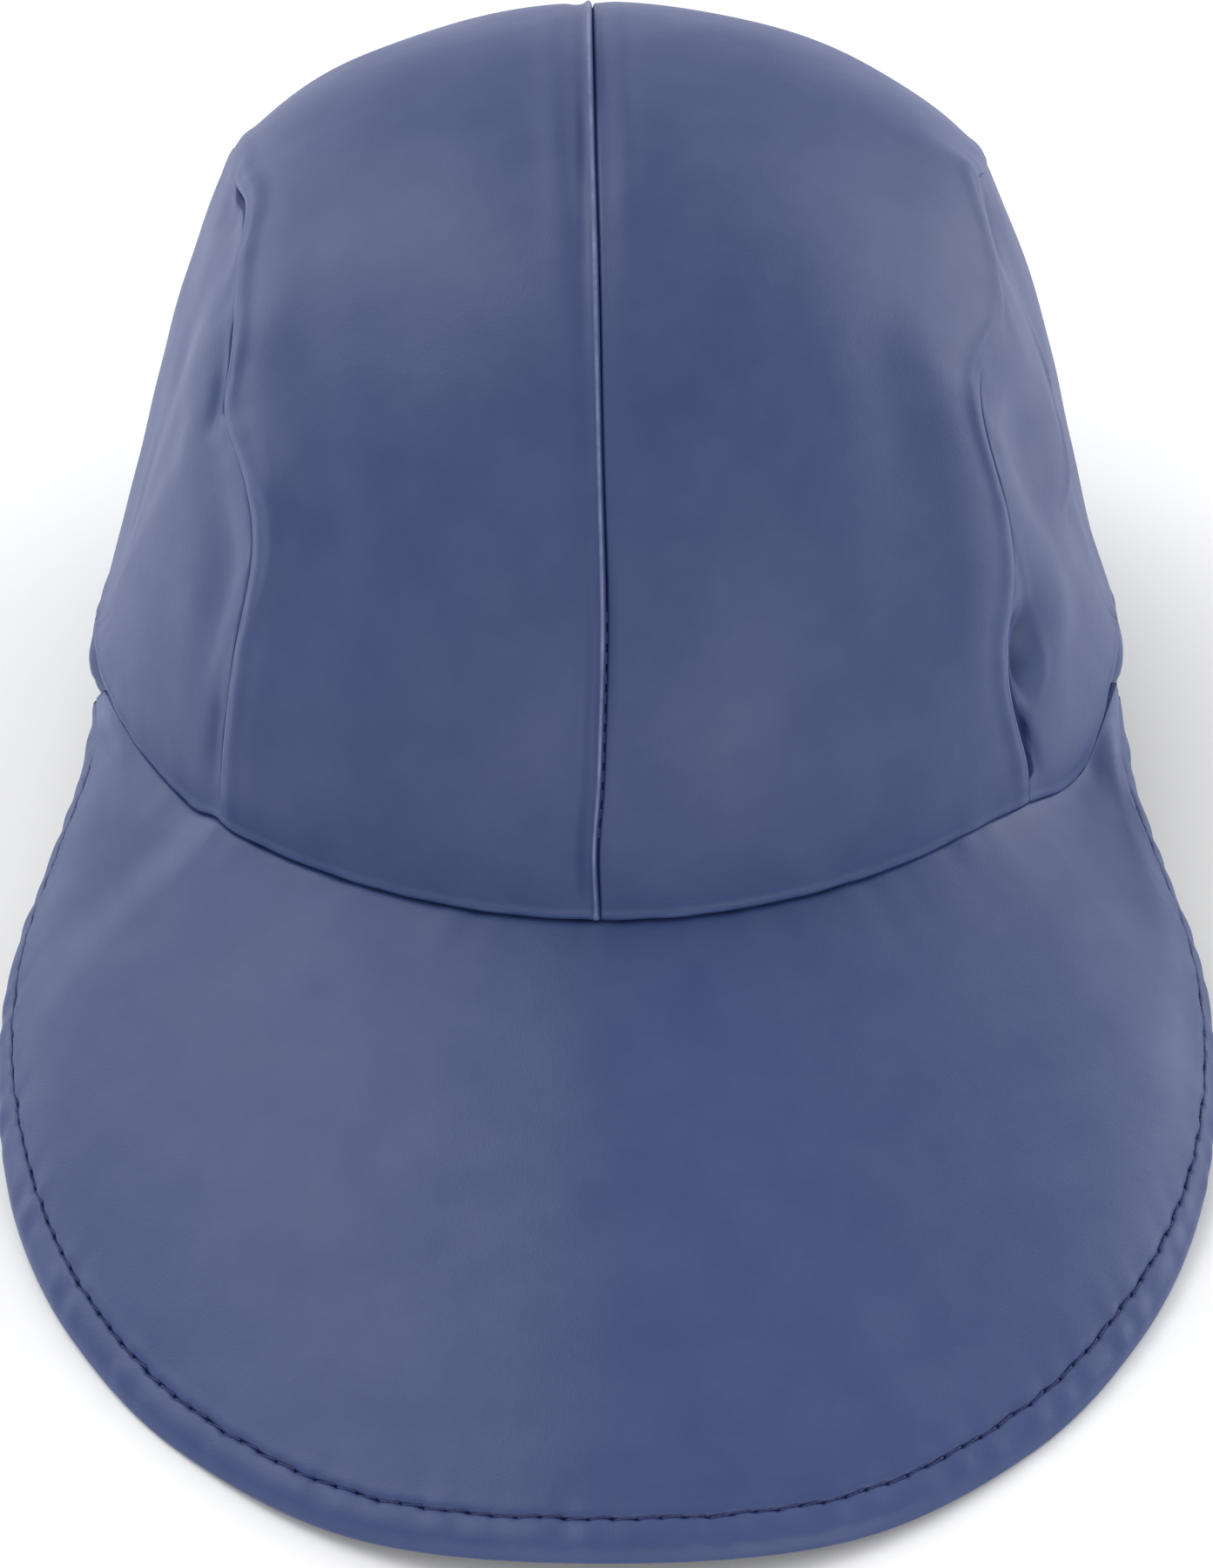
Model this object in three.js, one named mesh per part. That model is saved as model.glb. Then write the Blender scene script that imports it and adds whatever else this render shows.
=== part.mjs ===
// A waterproof cloth cap with a four-panel crown and one long, downward sloping front peak.
// Millimetres, +Z up. The cap stands as it does on a table: on the rear of its rim and on the two
// front corners of the peak. The peak points along -Y, so the wearer's left is +X.
//
// The shapes are worked out in the rim frame, whose z = 0 plane holds the lower edge of the crown's
// panels. A last group tips that frame back by REST_TILT, until the cap's lowest points are level.

import * as THREE from 'three';

// Cloth and gaps. The inside of a crown panel is its outside, scaled about the middle of the rim.
const CLOTH = 1.5;
const SEAM_GAP = 0.3;
const MEAN_RADIUS = 96;
const CLOTH_SCALE = 1 - CLOTH / MEAN_RADIUS;

// Crown: each section plane turns up from the front rim, about the line through the two side points
// of the rim. In it the surface runs from the centre seam (top) to the side seam (seamX, seamRadius)
// and on to the side point of the rim. "square" flattens the centre panel and drops its last third,
// and "lean" is how far the side panel starts from the upright, in degrees. SIDE_SLOPE is how much
// it still leans in at the rim, and SIDE_FULLNESS how far it keeps to those two directions. "centre"
// is how far the centre seam strays towards +X.
const HALF_WIDTH = 85.8;
const SIDE_SLOPE = 0.40;
const SIDE_FULLNESS = 0.36;
const SECTION_STEP = 30;
const CROWN_SECTIONS = [
  { angle: 0, top: 97.0, seamX: 61.5, seamRadius: 66.7, square: 0.10, lean: 31, centre: -0.9 },
  { angle: 30, top: 99.5, seamX: 60.0, seamRadius: 70.0, square: 0.12, lean: 30, centre: -0.3 },
  { angle: 60, top: 105.5, seamX: 60.0, seamRadius: 77.0, square: 0.22, lean: 26, centre: -1.2 },
  { angle: 90, top: 104.8, seamX: 62.0, seamRadius: 79.2, square: 0.18, lean: 22, centre: -2.2 },
  { angle: 120, top: 103.0, seamX: 63.0, seamRadius: 76.3, square: 0.18, lean: 29, centre: -2.3 },
  { angle: 150, top: 102.0, seamX: 62.0, seamRadius: 74.5, square: 0.20, lean: 30, centre: -1.5 },
  { angle: 180, top: 98.0, seamX: 61.0, seamRadius: 68.0, square: 0.10, lean: 31, centre: -0.5 },
];

// How far each side seam wanders outwards (+) or inwards (-) along the crown, and the centre seam to
// the left (+) or right (-)
const SEAM_DRIFT = [
  { seam: 'right', angle: 88, shift: -1.6, reach: 40 },
  { seam: 'right', angle: 79, shift: -1.9, reach: 6 },
  { seam: 'right', angle: 55, shift: 1.6, reach: 5 },
  { seam: 'right', angle: 38, shift: -3.9, reach: 10 },
  { seam: 'right', angle: 22, shift: -0.8, reach: 10 },
  { seam: 'left', angle: 87, shift: -2.4, reach: 7 },
  { seam: 'left', angle: 77, shift: 2.0, reach: 10 },
  { seam: 'left', angle: 68, shift: 1.9, reach: 8 },
  { seam: 'left', angle: 57, shift: -1.3, reach: 8 },
  { seam: 'left', angle: 46, shift: 1.3, reach: 7 },
  { seam: 'left', angle: 36, shift: 4.5, reach: 11 },
  { seam: 'left', angle: 16, shift: 2.9, reach: 11 },
  { seam: 'left', angle: 2, shift: 6.0, reach: 12 },
  { seam: 'centre', angle: 28, shift: 0.3, reach: 9 },
  { seam: 'centre', angle: 7, shift: -0.6, reach: 5 },
];

// How many degrees the front rim sags below its even plane on each side, from nothing at "across"
// start to the most at full. It rises again before the side point.
const RIM_SAG = {
  left: { most: 12, start: 0.85, full: 1.45 },
  right: { most: 2.5, start: 1.0, full: 1.15 },
};
const RIM_SAG_END = { start: 1.36, end: 1.76 };
const RIM_SAG_REACH = 35;

// Dents (height below 0) and puffed folds (above 0) of the crown. "across" is 0 on the centre seam,
// 1 on the side seam and 2 at the side point of the rim. Rows for the side panel alone are pockets
// beside the seam, under the edge of the centre panel.
const CROWN_RELIEF = [
  { side: 'right', panel: 'side', angle: 84, across: 1.04, height: -1.9, reachAngle: 6, reachAcross: 0.05 },
  { side: 'right', panel: 'side', angle: 58, across: 1.04, height: -2.0, reachAngle: 6, reachAcross: 0.05 },
  { side: 'right', panel: 'side', angle: 13, across: 1.02, height: -1.8, reachAngle: 8, reachAcross: 0.05 },
  { side: 'right', panel: 'both', angle: 42, across: 0.93, height: 2.0, reachAngle: 9, reachAcross: 0.06 },
  { side: 'right', panel: 'both', angle: 45, across: 0.78, height: -1.6, reachAngle: 26, reachAcross: 0.10 },
  { side: 'right', panel: 'both', angle: 14, across: 0.94, height: 0.8, reachAngle: 16, reachAcross: 0.05 },
  { side: 'right', panel: 'both', angle: 36, across: 1.12, height: -1.5, reachAngle: 13, reachAcross: 0.08 },
  { side: 'right', panel: 'both', angle: 66, across: 1.17, height: 0.6, reachAngle: 13, reachAcross: 0.11 },
  { side: 'left', panel: 'side', angle: 26, across: 1.075, height: -4.2, reachAngle: 6, reachAcross: 0.065 },
  { side: 'left', panel: 'side', angle: 13, across: 1.02, height: -2.6, reachAngle: 8, reachAcross: 0.05 },
  { side: 'left', panel: 'side', angle: 88, across: 1.05, height: -1.2, reachAngle: 6, reachAcross: 0.06 },
  { side: 'left', panel: 'both', angle: 34, across: 1.27, height: 0.9, reachAngle: 13, reachAcross: 0.11 },
  { side: 'left', panel: 'both', angle: 34, across: 0.92, height: 1.4, reachAngle: 16, reachAcross: 0.08 },
  { side: 'left', panel: 'both', angle: 52, across: 0.74, height: -1.4, reachAngle: 24, reachAcross: 0.12 },
  { side: 'left', panel: 'both', angle: 60, across: 1.26, height: -2.0, reachAngle: 15, reachAcross: 0.13 },
  { side: 'left', panel: 'both', angle: 86, across: 1.44, height: 0.9, reachAngle: 12, reachAcross: 0.15 },
];
const RELIEF_TURN = 70;
const RELIEF_TURN_END = 1.15;

// Peak: "rim" is the place on the crown's front rim, measured as "across" is, and "x, y, z" the place
// of the outer edge that belongs to it. "arch" lifts the cloth between the two, the most at two
// thirds of the way out, so that the peak rolls down towards its edge.
const PEAK_SECTIONS = [
  { rim: 0.00, x: 0.0, y: -193.0, z: -51.9, arch: 1.5 },
  { rim: 0.22, x: 37.2, y: -184.7, z: -53.8, arch: 1.8 },
  { rim: 0.42, x: 65.0, y: -164.4, z: -52.5, arch: 2.5 },
  { rim: 0.62, x: 82.6, y: -141.0, z: -48.8, arch: 3.4 },
  { rim: 0.82, x: 93.0, y: -116.5, z: -44.6, arch: 4.4 },
  { rim: 1.02, x: 97.2, y: -92.0, z: -38.5, arch: 5.0 },
  { rim: 1.20, x: 96.7, y: -71.0, z: -30.0, arch: 4.2 },
  { rim: 1.37, x: 91.6, y: -51.0, z: -22.0, arch: 2.8 },
  { rim: 1.53, x: 87.0, y: -33.0, z: -15.0, arch: 1.2 },
  { rim: 1.68, x: 85.4, y: -14.5, z: -9.0, arch: 0.3 },
];
const ARCH_SHAPE = 27 / 4;
const PEAK_THICKNESS = 3.0;
const PEAK_END_THICKNESS = 1.6;
const PEAK_TAB = 2.6;
const PEAK_END_TAB = 0.8;
const PEAK_END_START = 0.72;
const HEM_WIDTH = 7.2;
const HEM_PUFF = 0.5;
const HEM_ROUND = { start: 0.6, end: 1.3, depth: 2.0 };

// Turned edge round the foot of the crown: outside it bulges a little, then tucks in
const EDGE_DROP = 12.0;
const EDGE_THICKNESS = 2.2;
const EDGE_PROFILE = [
  { drop: 0.0, out: 0.0 },
  { drop: 0.3, out: 0.9 },
  { drop: 0.65, out: 0.7 },
  { drop: 1.0, out: -1.2 },
];
const EDGE_INSET = 3.1;
const NOTCH_FRONT = -14;
const NOTCH_BACK = -3;

// Rest pose
const REST_TILT = 9.3;
const TABLE = -26.9;
const MIDDLE = -49.34;

// How finely the surfaces are divided
const FRONT_ROWS = 28;
const FRONT_END = 98;
const BACK_ROWS = 13;
const CENTRE_STEPS = [0, 0.07, 0.2, 0.35, 0.5, 0.62, 0.73, 0.82, 0.9, 0.96, 1];
const SIDE_STEPS = [1, 1.05, 1.11, 1.18, 1.28, 1.38, 1.47, 1.56, 1.66, 1.78, 2];
const PEAK_STATIONS = 24;
const STATION_SPREAD = 1.25;
const PEAK_STEPS = [0, 0.12, 0.3, 0.5, 0.7, 0.87, 1];
const HEM_STEPS = [0, 0.25, 0.6, 0.88, 1];
const EDGE_STATIONS = 16;
const NORMAL_REACH = 0.004;

const radians = THREE.MathUtils.degToRad;
const smoothstep = THREE.MathUtils.smoothstep;
const lerp = THREE.MathUtils.lerp;

// The value at position t (0 to rows - 1) of one column of a table, on a smooth curve through its
// rows. A mirrored column turns back on itself at its first row, so the curve is level there.
function column(table, name, t, mirrored = false) {
  const last = table.length - 1;
  const at = Math.min(Math.max(t, 0), last);
  const i = Math.min(Math.floor(at), last - 1);
  const f = at - i;
  const b = table[i][name];
  const c = table[i + 1][name];
  const before = mirrored ? c : 2 * b - c;
  const a = i > 0 ? table[i - 1][name] : before;
  const d = i + 2 <= last ? table[i + 2][name] : 2 * c - b;
  return b + 0.5 * f * (c - a + f * (2 * a - 5 * b + 4 * c - d + f * (3 * b - a - 3 * c + d)));
}

const bump = (distance, reach) => Math.exp(-((distance / reach) ** 2));

function seamDrift(seam, angle) {
  return SEAM_DRIFT.filter((row) => row.seam === seam)
    .reduce((sum, row) => sum + row.shift * bump(angle - row.angle, row.reach), 0);
}

function relief(side, panel, angle, across) {
  return CROWN_RELIEF.filter((row) => row.side === side && (row.panel === 'both' || row.panel === panel))
    .reduce((sum, row) => sum + row.height * bump(angle - row.angle, row.reachAngle)
      * bump(across - row.across, row.reachAcross), 0);
}

function rimSag(side, angle, across) {
  const { most, start, full } = RIM_SAG[side];
  const rise = smoothstep(across, RIM_SAG_END.start, RIM_SAG_END.end);
  return most * smoothstep(across, start, full) * (1 - rise) * bump(angle, RIM_SAG_REACH);
}

// A point of the crown's outer surface. Within a section the centre panel drops as the square and
// the eighth power of "across", and the side panel is a cubic curve down to the rim's side point.
// Relief points away from the section's middle up to the side seam, and turns sideways beyond it.
function crownPoint(side, panel, angle, across) {
  const t = angle / SECTION_STEP;
  const at = (name) => column(CROWN_SECTIONS, name, t);
  const top = at('top');
  const square = at('square');
  const lean = radians(at('lean'));
  const drift = seamDrift(side, angle);
  const mirror = side === 'left' ? 1 : -1;
  const inner = (top - at('seamRadius')) / at('seamX') * (2 + 6 * square);
  const seamX = at('seamX') + drift;
  const seamRadius = at('seamRadius') - drift * (inner + 1 / Math.tan(lean)) / 2;
  let x;
  let radius;
  if (across <= 1) {
    const centre = at('centre') + seamDrift('centre', angle);
    const share = across + mirror * centre * (1 - across) / seamX;
    x = share * seamX;
    radius = top - (top - seamRadius) * ((1 - square) * share ** 2 + square * share ** 8);
  } else {
    const f = across - 1;
    const handle = SIDE_FULLNESS * Math.hypot(HALF_WIDTH - seamX, seamRadius);
    const slope = SIDE_SLOPE * Math.sin(radians(angle));
    const end = handle / Math.hypot(slope, 1);
    const weights = [(1 - f) ** 3, 3 * (1 - f) ** 2 * f, 3 * (1 - f) * f ** 2, f ** 3];
    const xs = [seamX, seamX + handle * Math.sin(lean), HALF_WIDTH - slope * end, HALF_WIDTH];
    const radii = [seamRadius, seamRadius - handle * Math.cos(lean), end, 0];
    x = weights.reduce((sum, w, k) => sum + w * xs[k], 0);
    radius = weights.reduce((sum, w, k) => sum + w * radii[k], 0);
  }
  const height = relief(side, panel, angle, across);
  const sideways = radians(RELIEF_TURN) * smoothstep(across, 1, RELIEF_TURN_END);
  x += height * Math.sin(sideways);
  radius += height * Math.cos(sideways);
  const turn = radians(angle - rimSag(side, angle, across));
  return new THREE.Vector3(mirror * x, -radius * Math.cos(turn), radius * Math.sin(turn));
}

// Points and triangles of a solid, where points closer than a thousandth of a millimetre are one
class Skin {
  constructor() {
    this.index = new Map();
    this.positions = [];
    this.triangles = [];
  }

  corner(point) {
    const key = point.toArray().map((value) => Math.round(value * 1000)).join(' ');
    if (!this.index.has(key)) {
      this.index.set(key, this.positions.length / 3);
      this.positions.push(...point.toArray());
    }
    return this.index.get(key);
  }

  quad(a, b, c, d) {
    const [i, j, k, l] = [a, b, c, d].map((point) => this.corner(point));
    for (const triangle of [[i, j, k], [i, k, l]]) {
      if (new Set(triangle).size === 3) this.triangles.push(...triangle);
    }
  }

  // A row of quads between two lists of points
  strip(first, second) {
    for (let j = 0; j + 1 < first.length; j += 1) {
      this.quad(first[j], first[j + 1], second[j + 1], second[j]);
    }
  }

  volume() {
    const at = (n) => new THREE.Vector3().fromArray(this.positions, 3 * this.triangles[n]);
    let sum = 0;
    for (let n = 0; n < this.triangles.length; n += 3) {
      sum += at(n).dot(at(n + 1).cross(at(n + 2)));
    }
    return sum / 6;
  }

  geometry() {
    if (this.volume() < 0) this.triangles.reverse();
    const geometry = new THREE.BufferGeometry();
    geometry.setAttribute('position', new THREE.Float32BufferAttribute(this.positions, 3));
    geometry.setIndex(this.triangles);
    geometry.computeVertexNormals();
    return geometry;
  }
}

// A closed wall of cloth between an outer and an inner grid of points, both as rows of points
function clothWall(outer, inner) {
  const skin = new Skin();
  const last = outer.length - 1;
  const end = outer[0].length - 1;
  for (let i = 0; i < last; i += 1) {
    skin.strip(outer[i], outer[i + 1]);
    skin.strip(inner[i + 1], inner[i]);
    skin.quad(outer[i][0], outer[i + 1][0], inner[i + 1][0], inner[i][0]);
    skin.quad(inner[i][end], inner[i + 1][end], outer[i + 1][end], outer[i][end]);
  }
  skin.strip(inner[0], outer[0]);
  skin.strip(outer[last], inner[last]);
  return skin.geometry();
}

// A closed ring through closed sections, each a loop of points
function clothRing(sections) {
  const skin = new Skin();
  sections.forEach((section, i) => {
    const next = sections[(i + 1) % sections.length];
    skin.strip([...section, section[0]], [...next, next[0]]);
  });
  return skin.geometry();
}

function crownAngle(row) {
  if (row <= FRONT_ROWS) return FRONT_END * row / FRONT_ROWS;
  return lerp(FRONT_END, 180, (row - FRONT_ROWS) / BACK_ROWS);
}

// A crown panel: its cloth is as thick as the scaled copy of its outer surface leaves it. Its long
// edges stand back from the seam by half the seam gap. The centre panel's turning reaches down to
// the inside of the side panel, so no pocket beside the seam opens into the head space.
function crownPanel(side, panel, steps) {
  const mirror = side === 'left' ? 1 : -1;
  const edgeShift = (across) => {
    if (across === 0) return mirror * SEAM_GAP / 2;
    if (across === 1) return (panel === 'side' ? mirror : -mirror) * SEAM_GAP / 2;
    return 0;
  };
  const outer = [];
  const inner = [];
  for (let row = 0; row <= FRONT_ROWS + BACK_ROWS; row += 1) {
    const angle = crownAngle(row);
    const points = (name) => steps.map((across) => {
      const point = crownPoint(side, across === 1 ? name : panel, angle, across);
      point.x += edgeShift(across);
      return point;
    });
    outer.push(points(panel));
    inner.push(points('side').map((point, j) => {
      const copy = point.clone().multiplyScalar(CLOTH_SCALE);
      if (steps[j] === 0) copy.x = point.x;
      return copy;
    }));
  }
  return clothWall(outer, inner);
}

// The peak's upper surface: rows go round the rim from the right end to the left end, and columns
// from the rim (0) to the outer edge (1)
function peakPoint(station, across) {
  const side = station < 0 ? 'right' : 'left';
  const mirror = Math.sign(station) || 1;
  const t = Math.abs(station) * (PEAK_SECTIONS.length - 1);
  const at = (name) => column(PEAK_SECTIONS, name, t);
  const even = (name) => column(PEAK_SECTIONS, name, t, true);
  const rim = crownPoint(side, 'centre', 0, at('rim'));
  rim.z -= SEAM_GAP;
  const edge = new THREE.Vector3(mirror * at('x'), even('y'), even('z'));
  const run = edge.clone().sub(rim);
  const up = new THREE.Vector3(0, 0, 1);
  up.addScaledVector(run, -up.dot(run) / run.lengthSq()).normalize();
  const lift = ARCH_SHAPE * across ** 2 * (1 - across) * even('arch');
  return rim.addScaledVector(run, across).addScaledVector(up, lift);
}

// The unit normal of the peak's upper surface, from points close by
function peakNormal(station, across) {
  const before = peakPoint(Math.max(station - NORMAL_REACH, -1), across);
  const after = peakPoint(Math.min(station + NORMAL_REACH, 1), across);
  const outwards = peakPoint(station, across + NORMAL_REACH);
  outwards.sub(peakPoint(station, across - NORMAL_REACH));
  return outwards.cross(after.sub(before)).normalize();
}

// The share of a station's width where the hem starts
function hemStart(station) {
  return 1 - HEM_WIDTH / peakPoint(station, 0).distanceTo(peakPoint(station, 1));
}

// Stations from the right end (-1) to the left end (1), closer together at the front
const peakStations = Array.from({ length: 2 * PEAK_STATIONS + 1 }, (_, i) => {
  const share = (i - PEAK_STATIONS) / PEAK_STATIONS;
  return Math.sign(share) * Math.abs(share) ** STATION_SPREAD;
});

const endShare = (station) => smoothstep(Math.abs(station), PEAK_END_START, 1);

// The peak's board of cloth, which stops at the hem and reaches a little way in under the crown
function peakBoard() {
  const outer = [];
  const inner = [];
  for (const station of peakStations) {
    const width = peakPoint(station, 0).distanceTo(peakPoint(station, 1));
    const stop = hemStart(station) - SEAM_GAP / width;
    const depth = lerp(PEAK_THICKNESS, PEAK_END_THICKNESS, endShare(station));
    const tab = lerp(PEAK_TAB, PEAK_END_TAB, endShare(station));
    const inwards = peakPoint(station, 0).setZ(0).setLength(-tab);
    const shares = PEAK_STEPS.map((step) => step * stop);
    const top = shares.map((share) => peakPoint(station, share));
    const under = shares.map((share, j) => {
      const normal = peakNormal(station, share);
      if (share === 0) normal.add(new THREE.Vector3(0, 0, 1)).normalize();
      return top[j].clone().addScaledVector(normal, -depth);
    });
    const tabEnd = top[0].clone().add(inwards);
    outer.push([tabEnd, ...top]);
    inner.push([tabEnd.clone().setZ(tabEnd.z - depth), ...under]);
  }
  return clothWall(outer, inner);
}

// The turned band round the peak's outer edge, a little thicker than the board and rounded outside
function peakHem() {
  const outer = [];
  const inner = [];
  for (const station of peakStations) {
    const depth = lerp(PEAK_THICKNESS, PEAK_END_THICKNESS, endShare(station));
    const start = hemStart(station);
    const place = (step, upper) => {
      const share = lerp(start, 1, step);
      const rise = HEM_PUFF * Math.sin(Math.PI * step);
      const edge = smoothstep(step, HEM_ROUND.start, HEM_ROUND.end)
        * HEM_ROUND.depth * depth / PEAK_THICKNESS;
      const height = upper ? rise - edge : edge - rise - depth;
      return peakPoint(station, share).addScaledVector(peakNormal(station, share), height);
    };
    outer.push(HEM_STEPS.map((step) => place(step, true)));
    inner.push(HEM_STEPS.map((step) => place(step, false)));
  }
  return clothWall(outer, inner);
}

// The rim of the crown seen from above, once round, anticlockwise from the middle of the front
function rimLoop() {
  const points = [];
  for (const [side, angle, up] of [['left', 0, true], ['left', 180, false],
    ['right', 180, true], ['right', 0, false]]) {
    for (let k = 0; k < 2 * EDGE_STATIONS; k += 1) {
      const across = k / EDGE_STATIONS;
      points.push(crownPoint(side, 'centre', angle, up ? across : 2 - across));
    }
  }
  return points;
}

// A point that would sink into the table is lifted onto it
function onTable(point) {
  const tilt = radians(REST_TILT);
  const height = point.z * Math.cos(tilt) - point.y * Math.sin(tilt) - TABLE;
  if (height < 0) point.z -= height / Math.cos(tilt);
  return point;
}

// The turned edge of the crown: outside at the back and sides, and inside the peak at the front
function crownEdge() {
  const loop = rimLoop();
  const count = loop.length;
  const sections = loop.map((point, i) => {
    const along = loop[(i + 1) % count].clone().sub(loop[(i + count - 1) % count]);
    const outwards = new THREE.Vector3(along.y, -along.x, 0).normalize();
    const free = smoothstep(point.y, NOTCH_FRONT, NOTCH_BACK);
    const inset = EDGE_INSET * (1 - free);
    const place = (row, depth) => onTable(point.clone()
      .addScaledVector(outwards, row.out * free - inset - depth)
      .setZ(-SEAM_GAP - row.drop * (EDGE_DROP - SEAM_GAP)));
    const outside = EDGE_PROFILE.map((row) => place(row, 0));
    const inside = EDGE_PROFILE.map((row) => place(row, EDGE_THICKNESS));
    return [...outside, ...inside.reverse()];
  });
  return clothRing(sections);
}

const cloth = (color, roughness) => new THREE.MeshStandardMaterial({ color, roughness, metalness: 0 });
const panelCloth = cloth('#5b6690', 0.5);
const sideCloth = cloth('#6e789e', 0.5);
const peakCloth = cloth('#525d88', 0.48);
const edgeCloth = cloth('#4d5883', 0.55);

const cap = new THREE.Group();
function add(name, geometry, material) {
  const mesh = new THREE.Mesh(geometry, material);
  mesh.name = name;
  cap.add(mesh);
}

for (const side of ['left', 'right']) {
  add(`crown_panel_${side}`, crownPanel(side, 'centre', CENTRE_STEPS), panelCloth);
  add(`side_panel_${side}`, crownPanel(side, 'side', SIDE_STEPS), sideCloth);
}
add('peak', peakBoard(), peakCloth);
add('peak_hem', peakHem(), edgeCloth);
add('crown_hem', crownEdge(), edgeCloth);

// Tip the cap back to its rest pose, with the origin under the middle of its box
cap.rotation.x = -radians(REST_TILT);
const object = new THREE.Group();
object.add(cap);
cap.position.set(0, -MIDDLE, -TABLE);

export default object;
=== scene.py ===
"""A waterproof cloth cap with a long front peak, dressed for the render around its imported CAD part.

The shapes repeat the part's own formulas in millimetres in the rim frame, where the lower edge of the
crown's panels lies in the plane z = 0, and add what sewn, coated cloth shows: seams with their turnings,
puckers, soft waves, a topstitched hem and its thread. to_rest() then tips them into the row frame.
"""

import math

import bmesh
import bpy
import numpy as np
from bpy.props import FloatProperty, FloatVectorProperty, PointerProperty
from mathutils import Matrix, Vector


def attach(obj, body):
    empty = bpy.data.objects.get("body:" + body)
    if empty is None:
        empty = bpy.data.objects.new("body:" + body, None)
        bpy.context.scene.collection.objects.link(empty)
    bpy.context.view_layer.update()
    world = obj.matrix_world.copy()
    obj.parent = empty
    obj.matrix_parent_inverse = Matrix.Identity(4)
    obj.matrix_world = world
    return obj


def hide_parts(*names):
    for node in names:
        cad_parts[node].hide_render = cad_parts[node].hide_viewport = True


bl_info = {
    "name": "Rain cap",
    "version": (1, 0, 0),
    "blender": (4, 5, 0),
    "location": "View3D > Sidebar > Rain cap",
    "description": "Builds the sewn cloth of a rain cap, its stitches and a plain studio",
    "category": "Add Mesh",
}

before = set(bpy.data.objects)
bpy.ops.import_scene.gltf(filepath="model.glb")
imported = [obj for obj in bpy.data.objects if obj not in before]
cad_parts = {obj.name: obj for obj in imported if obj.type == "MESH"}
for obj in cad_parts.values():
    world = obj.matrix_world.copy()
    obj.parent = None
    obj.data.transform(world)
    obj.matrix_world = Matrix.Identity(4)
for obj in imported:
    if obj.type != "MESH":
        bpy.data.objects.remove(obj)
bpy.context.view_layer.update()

MM = 0.001
UP = np.array([0.0, 0.0, 1.0])

# Crown. Every 30 degrees a section plane turns up from the front rim about the line through the rim's two
# side points. In it the surface runs from the centre seam (across 0) to the side seam (across 1) and on
# to the side point (across 2). The centre seam lies at top from that line and at x = centre, the side
# seam at seam_radius and seam_x. square is the share of the fall that goes with the eighth power of
# across, lean the side panel's first slope in degrees.
HALF_WIDTH = 85.8
SIDE_SLOPE = 0.40
SIDE_FULLNESS = 0.36
SECTION_STEP = 30.0
CROWN = {
    "top": (97.0, 99.5, 105.5, 104.8, 103.0, 102.0, 98.0),
    "seam_x": (61.5, 60.0, 60.0, 62.0, 63.0, 62.0, 61.0),
    "seam_radius": (66.7, 70.0, 77.0, 79.2, 76.3, 74.5, 68.0),
    "square": (0.10, 0.12, 0.22, 0.18, 0.18, 0.20, 0.10),
    "lean": (31.0, 30.0, 26.0, 22.0, 29.0, 30.0, 31.0),
    "centre": (-0.9, -0.3, -1.2, -2.2, -2.3, -1.5, -0.5),
}

# How far each seam wanders: shift in mm, angle, reach in degrees
SEAM_DRIFT = {
    "right": ((-1.6, 88, 40), (-1.9, 79, 6), (1.6, 55, 5), (-3.9, 38, 10), (-0.8, 22, 10)),
    "left": ((-2.4, 87, 7), (2.0, 77, 10), (1.9, 68, 8), (-1.3, 57, 8), (1.3, 46, 7), (4.5, 36, 11),
             (2.9, 16, 11), (6.0, 2, 12)),
    "centre": ((0.3, 28, 9), (-0.6, 7, 5)),
}

# Sag of the front rim: degrees, and the places across where it sets in; where it ends; reach in degrees
RIM_SAG = {"left": (12.0, 0.85, 1.45), "right": (2.5, 1.0, 1.15)}
RIM_SAG_END = (1.36, 1.76)
RIM_SAG_REACH = 35.0

# Dents and puffed folds: angle, across, height, reach in angle and in across. Beyond the side seam they
# turn sideways by RELIEF_TURN degrees, fully at RELIEF_TURN_END across.
CROWN_RELIEF = {
    ("right", "side"): (
        (84, 1.04, -1.9, 6, 0.05), (58, 1.04, -2.0, 6, 0.05), (13, 1.02, -1.8, 8, 0.05)),
    ("right", "both"): (
        (42, 0.93, 2.0, 9, 0.06), (45, 0.78, -1.6, 26, 0.10), (14, 0.94, 0.8, 16, 0.05),
        (36, 1.12, -1.5, 13, 0.08), (66, 1.17, 0.6, 13, 0.11)),
    ("left", "side"): (
        (26, 1.075, -4.2, 6, 0.065), (13, 1.02, -2.6, 8, 0.05), (88, 1.05, -1.2, 6, 0.06)),
    ("left", "both"): (
        (34, 1.27, 0.9, 13, 0.11), (34, 0.92, 1.4, 16, 0.08), (52, 0.74, -1.4, 24, 0.12),
        (60, 1.26, -2.0, 15, 0.13), (86, 1.44, 0.9, 12, 0.15)),
}
RELIEF_TURN = 70.0
RELIEF_TURN_END = 1.15

# Panels: rows and columns of points, their crowding towards the edges, the mm over which the edge rolls
# into the side seam, and the phases of the waves
PANEL_GRID = {"centre": (380, 116), "side": (300, 96)}
ROW_CROWDING = 0.6
COLUMN_CROWDING = 0.75
SEAM_EDGE = {"centre": 0.55, "side": 0.65}
SIDE_PHASE = {"left": 0.7, "right": 2.9}
WAVE_PHASE = {"centre": 0.0, "side": 1.9}
PUCKER_PHASE = {"centre": 0.0, "side": 1.3}

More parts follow.
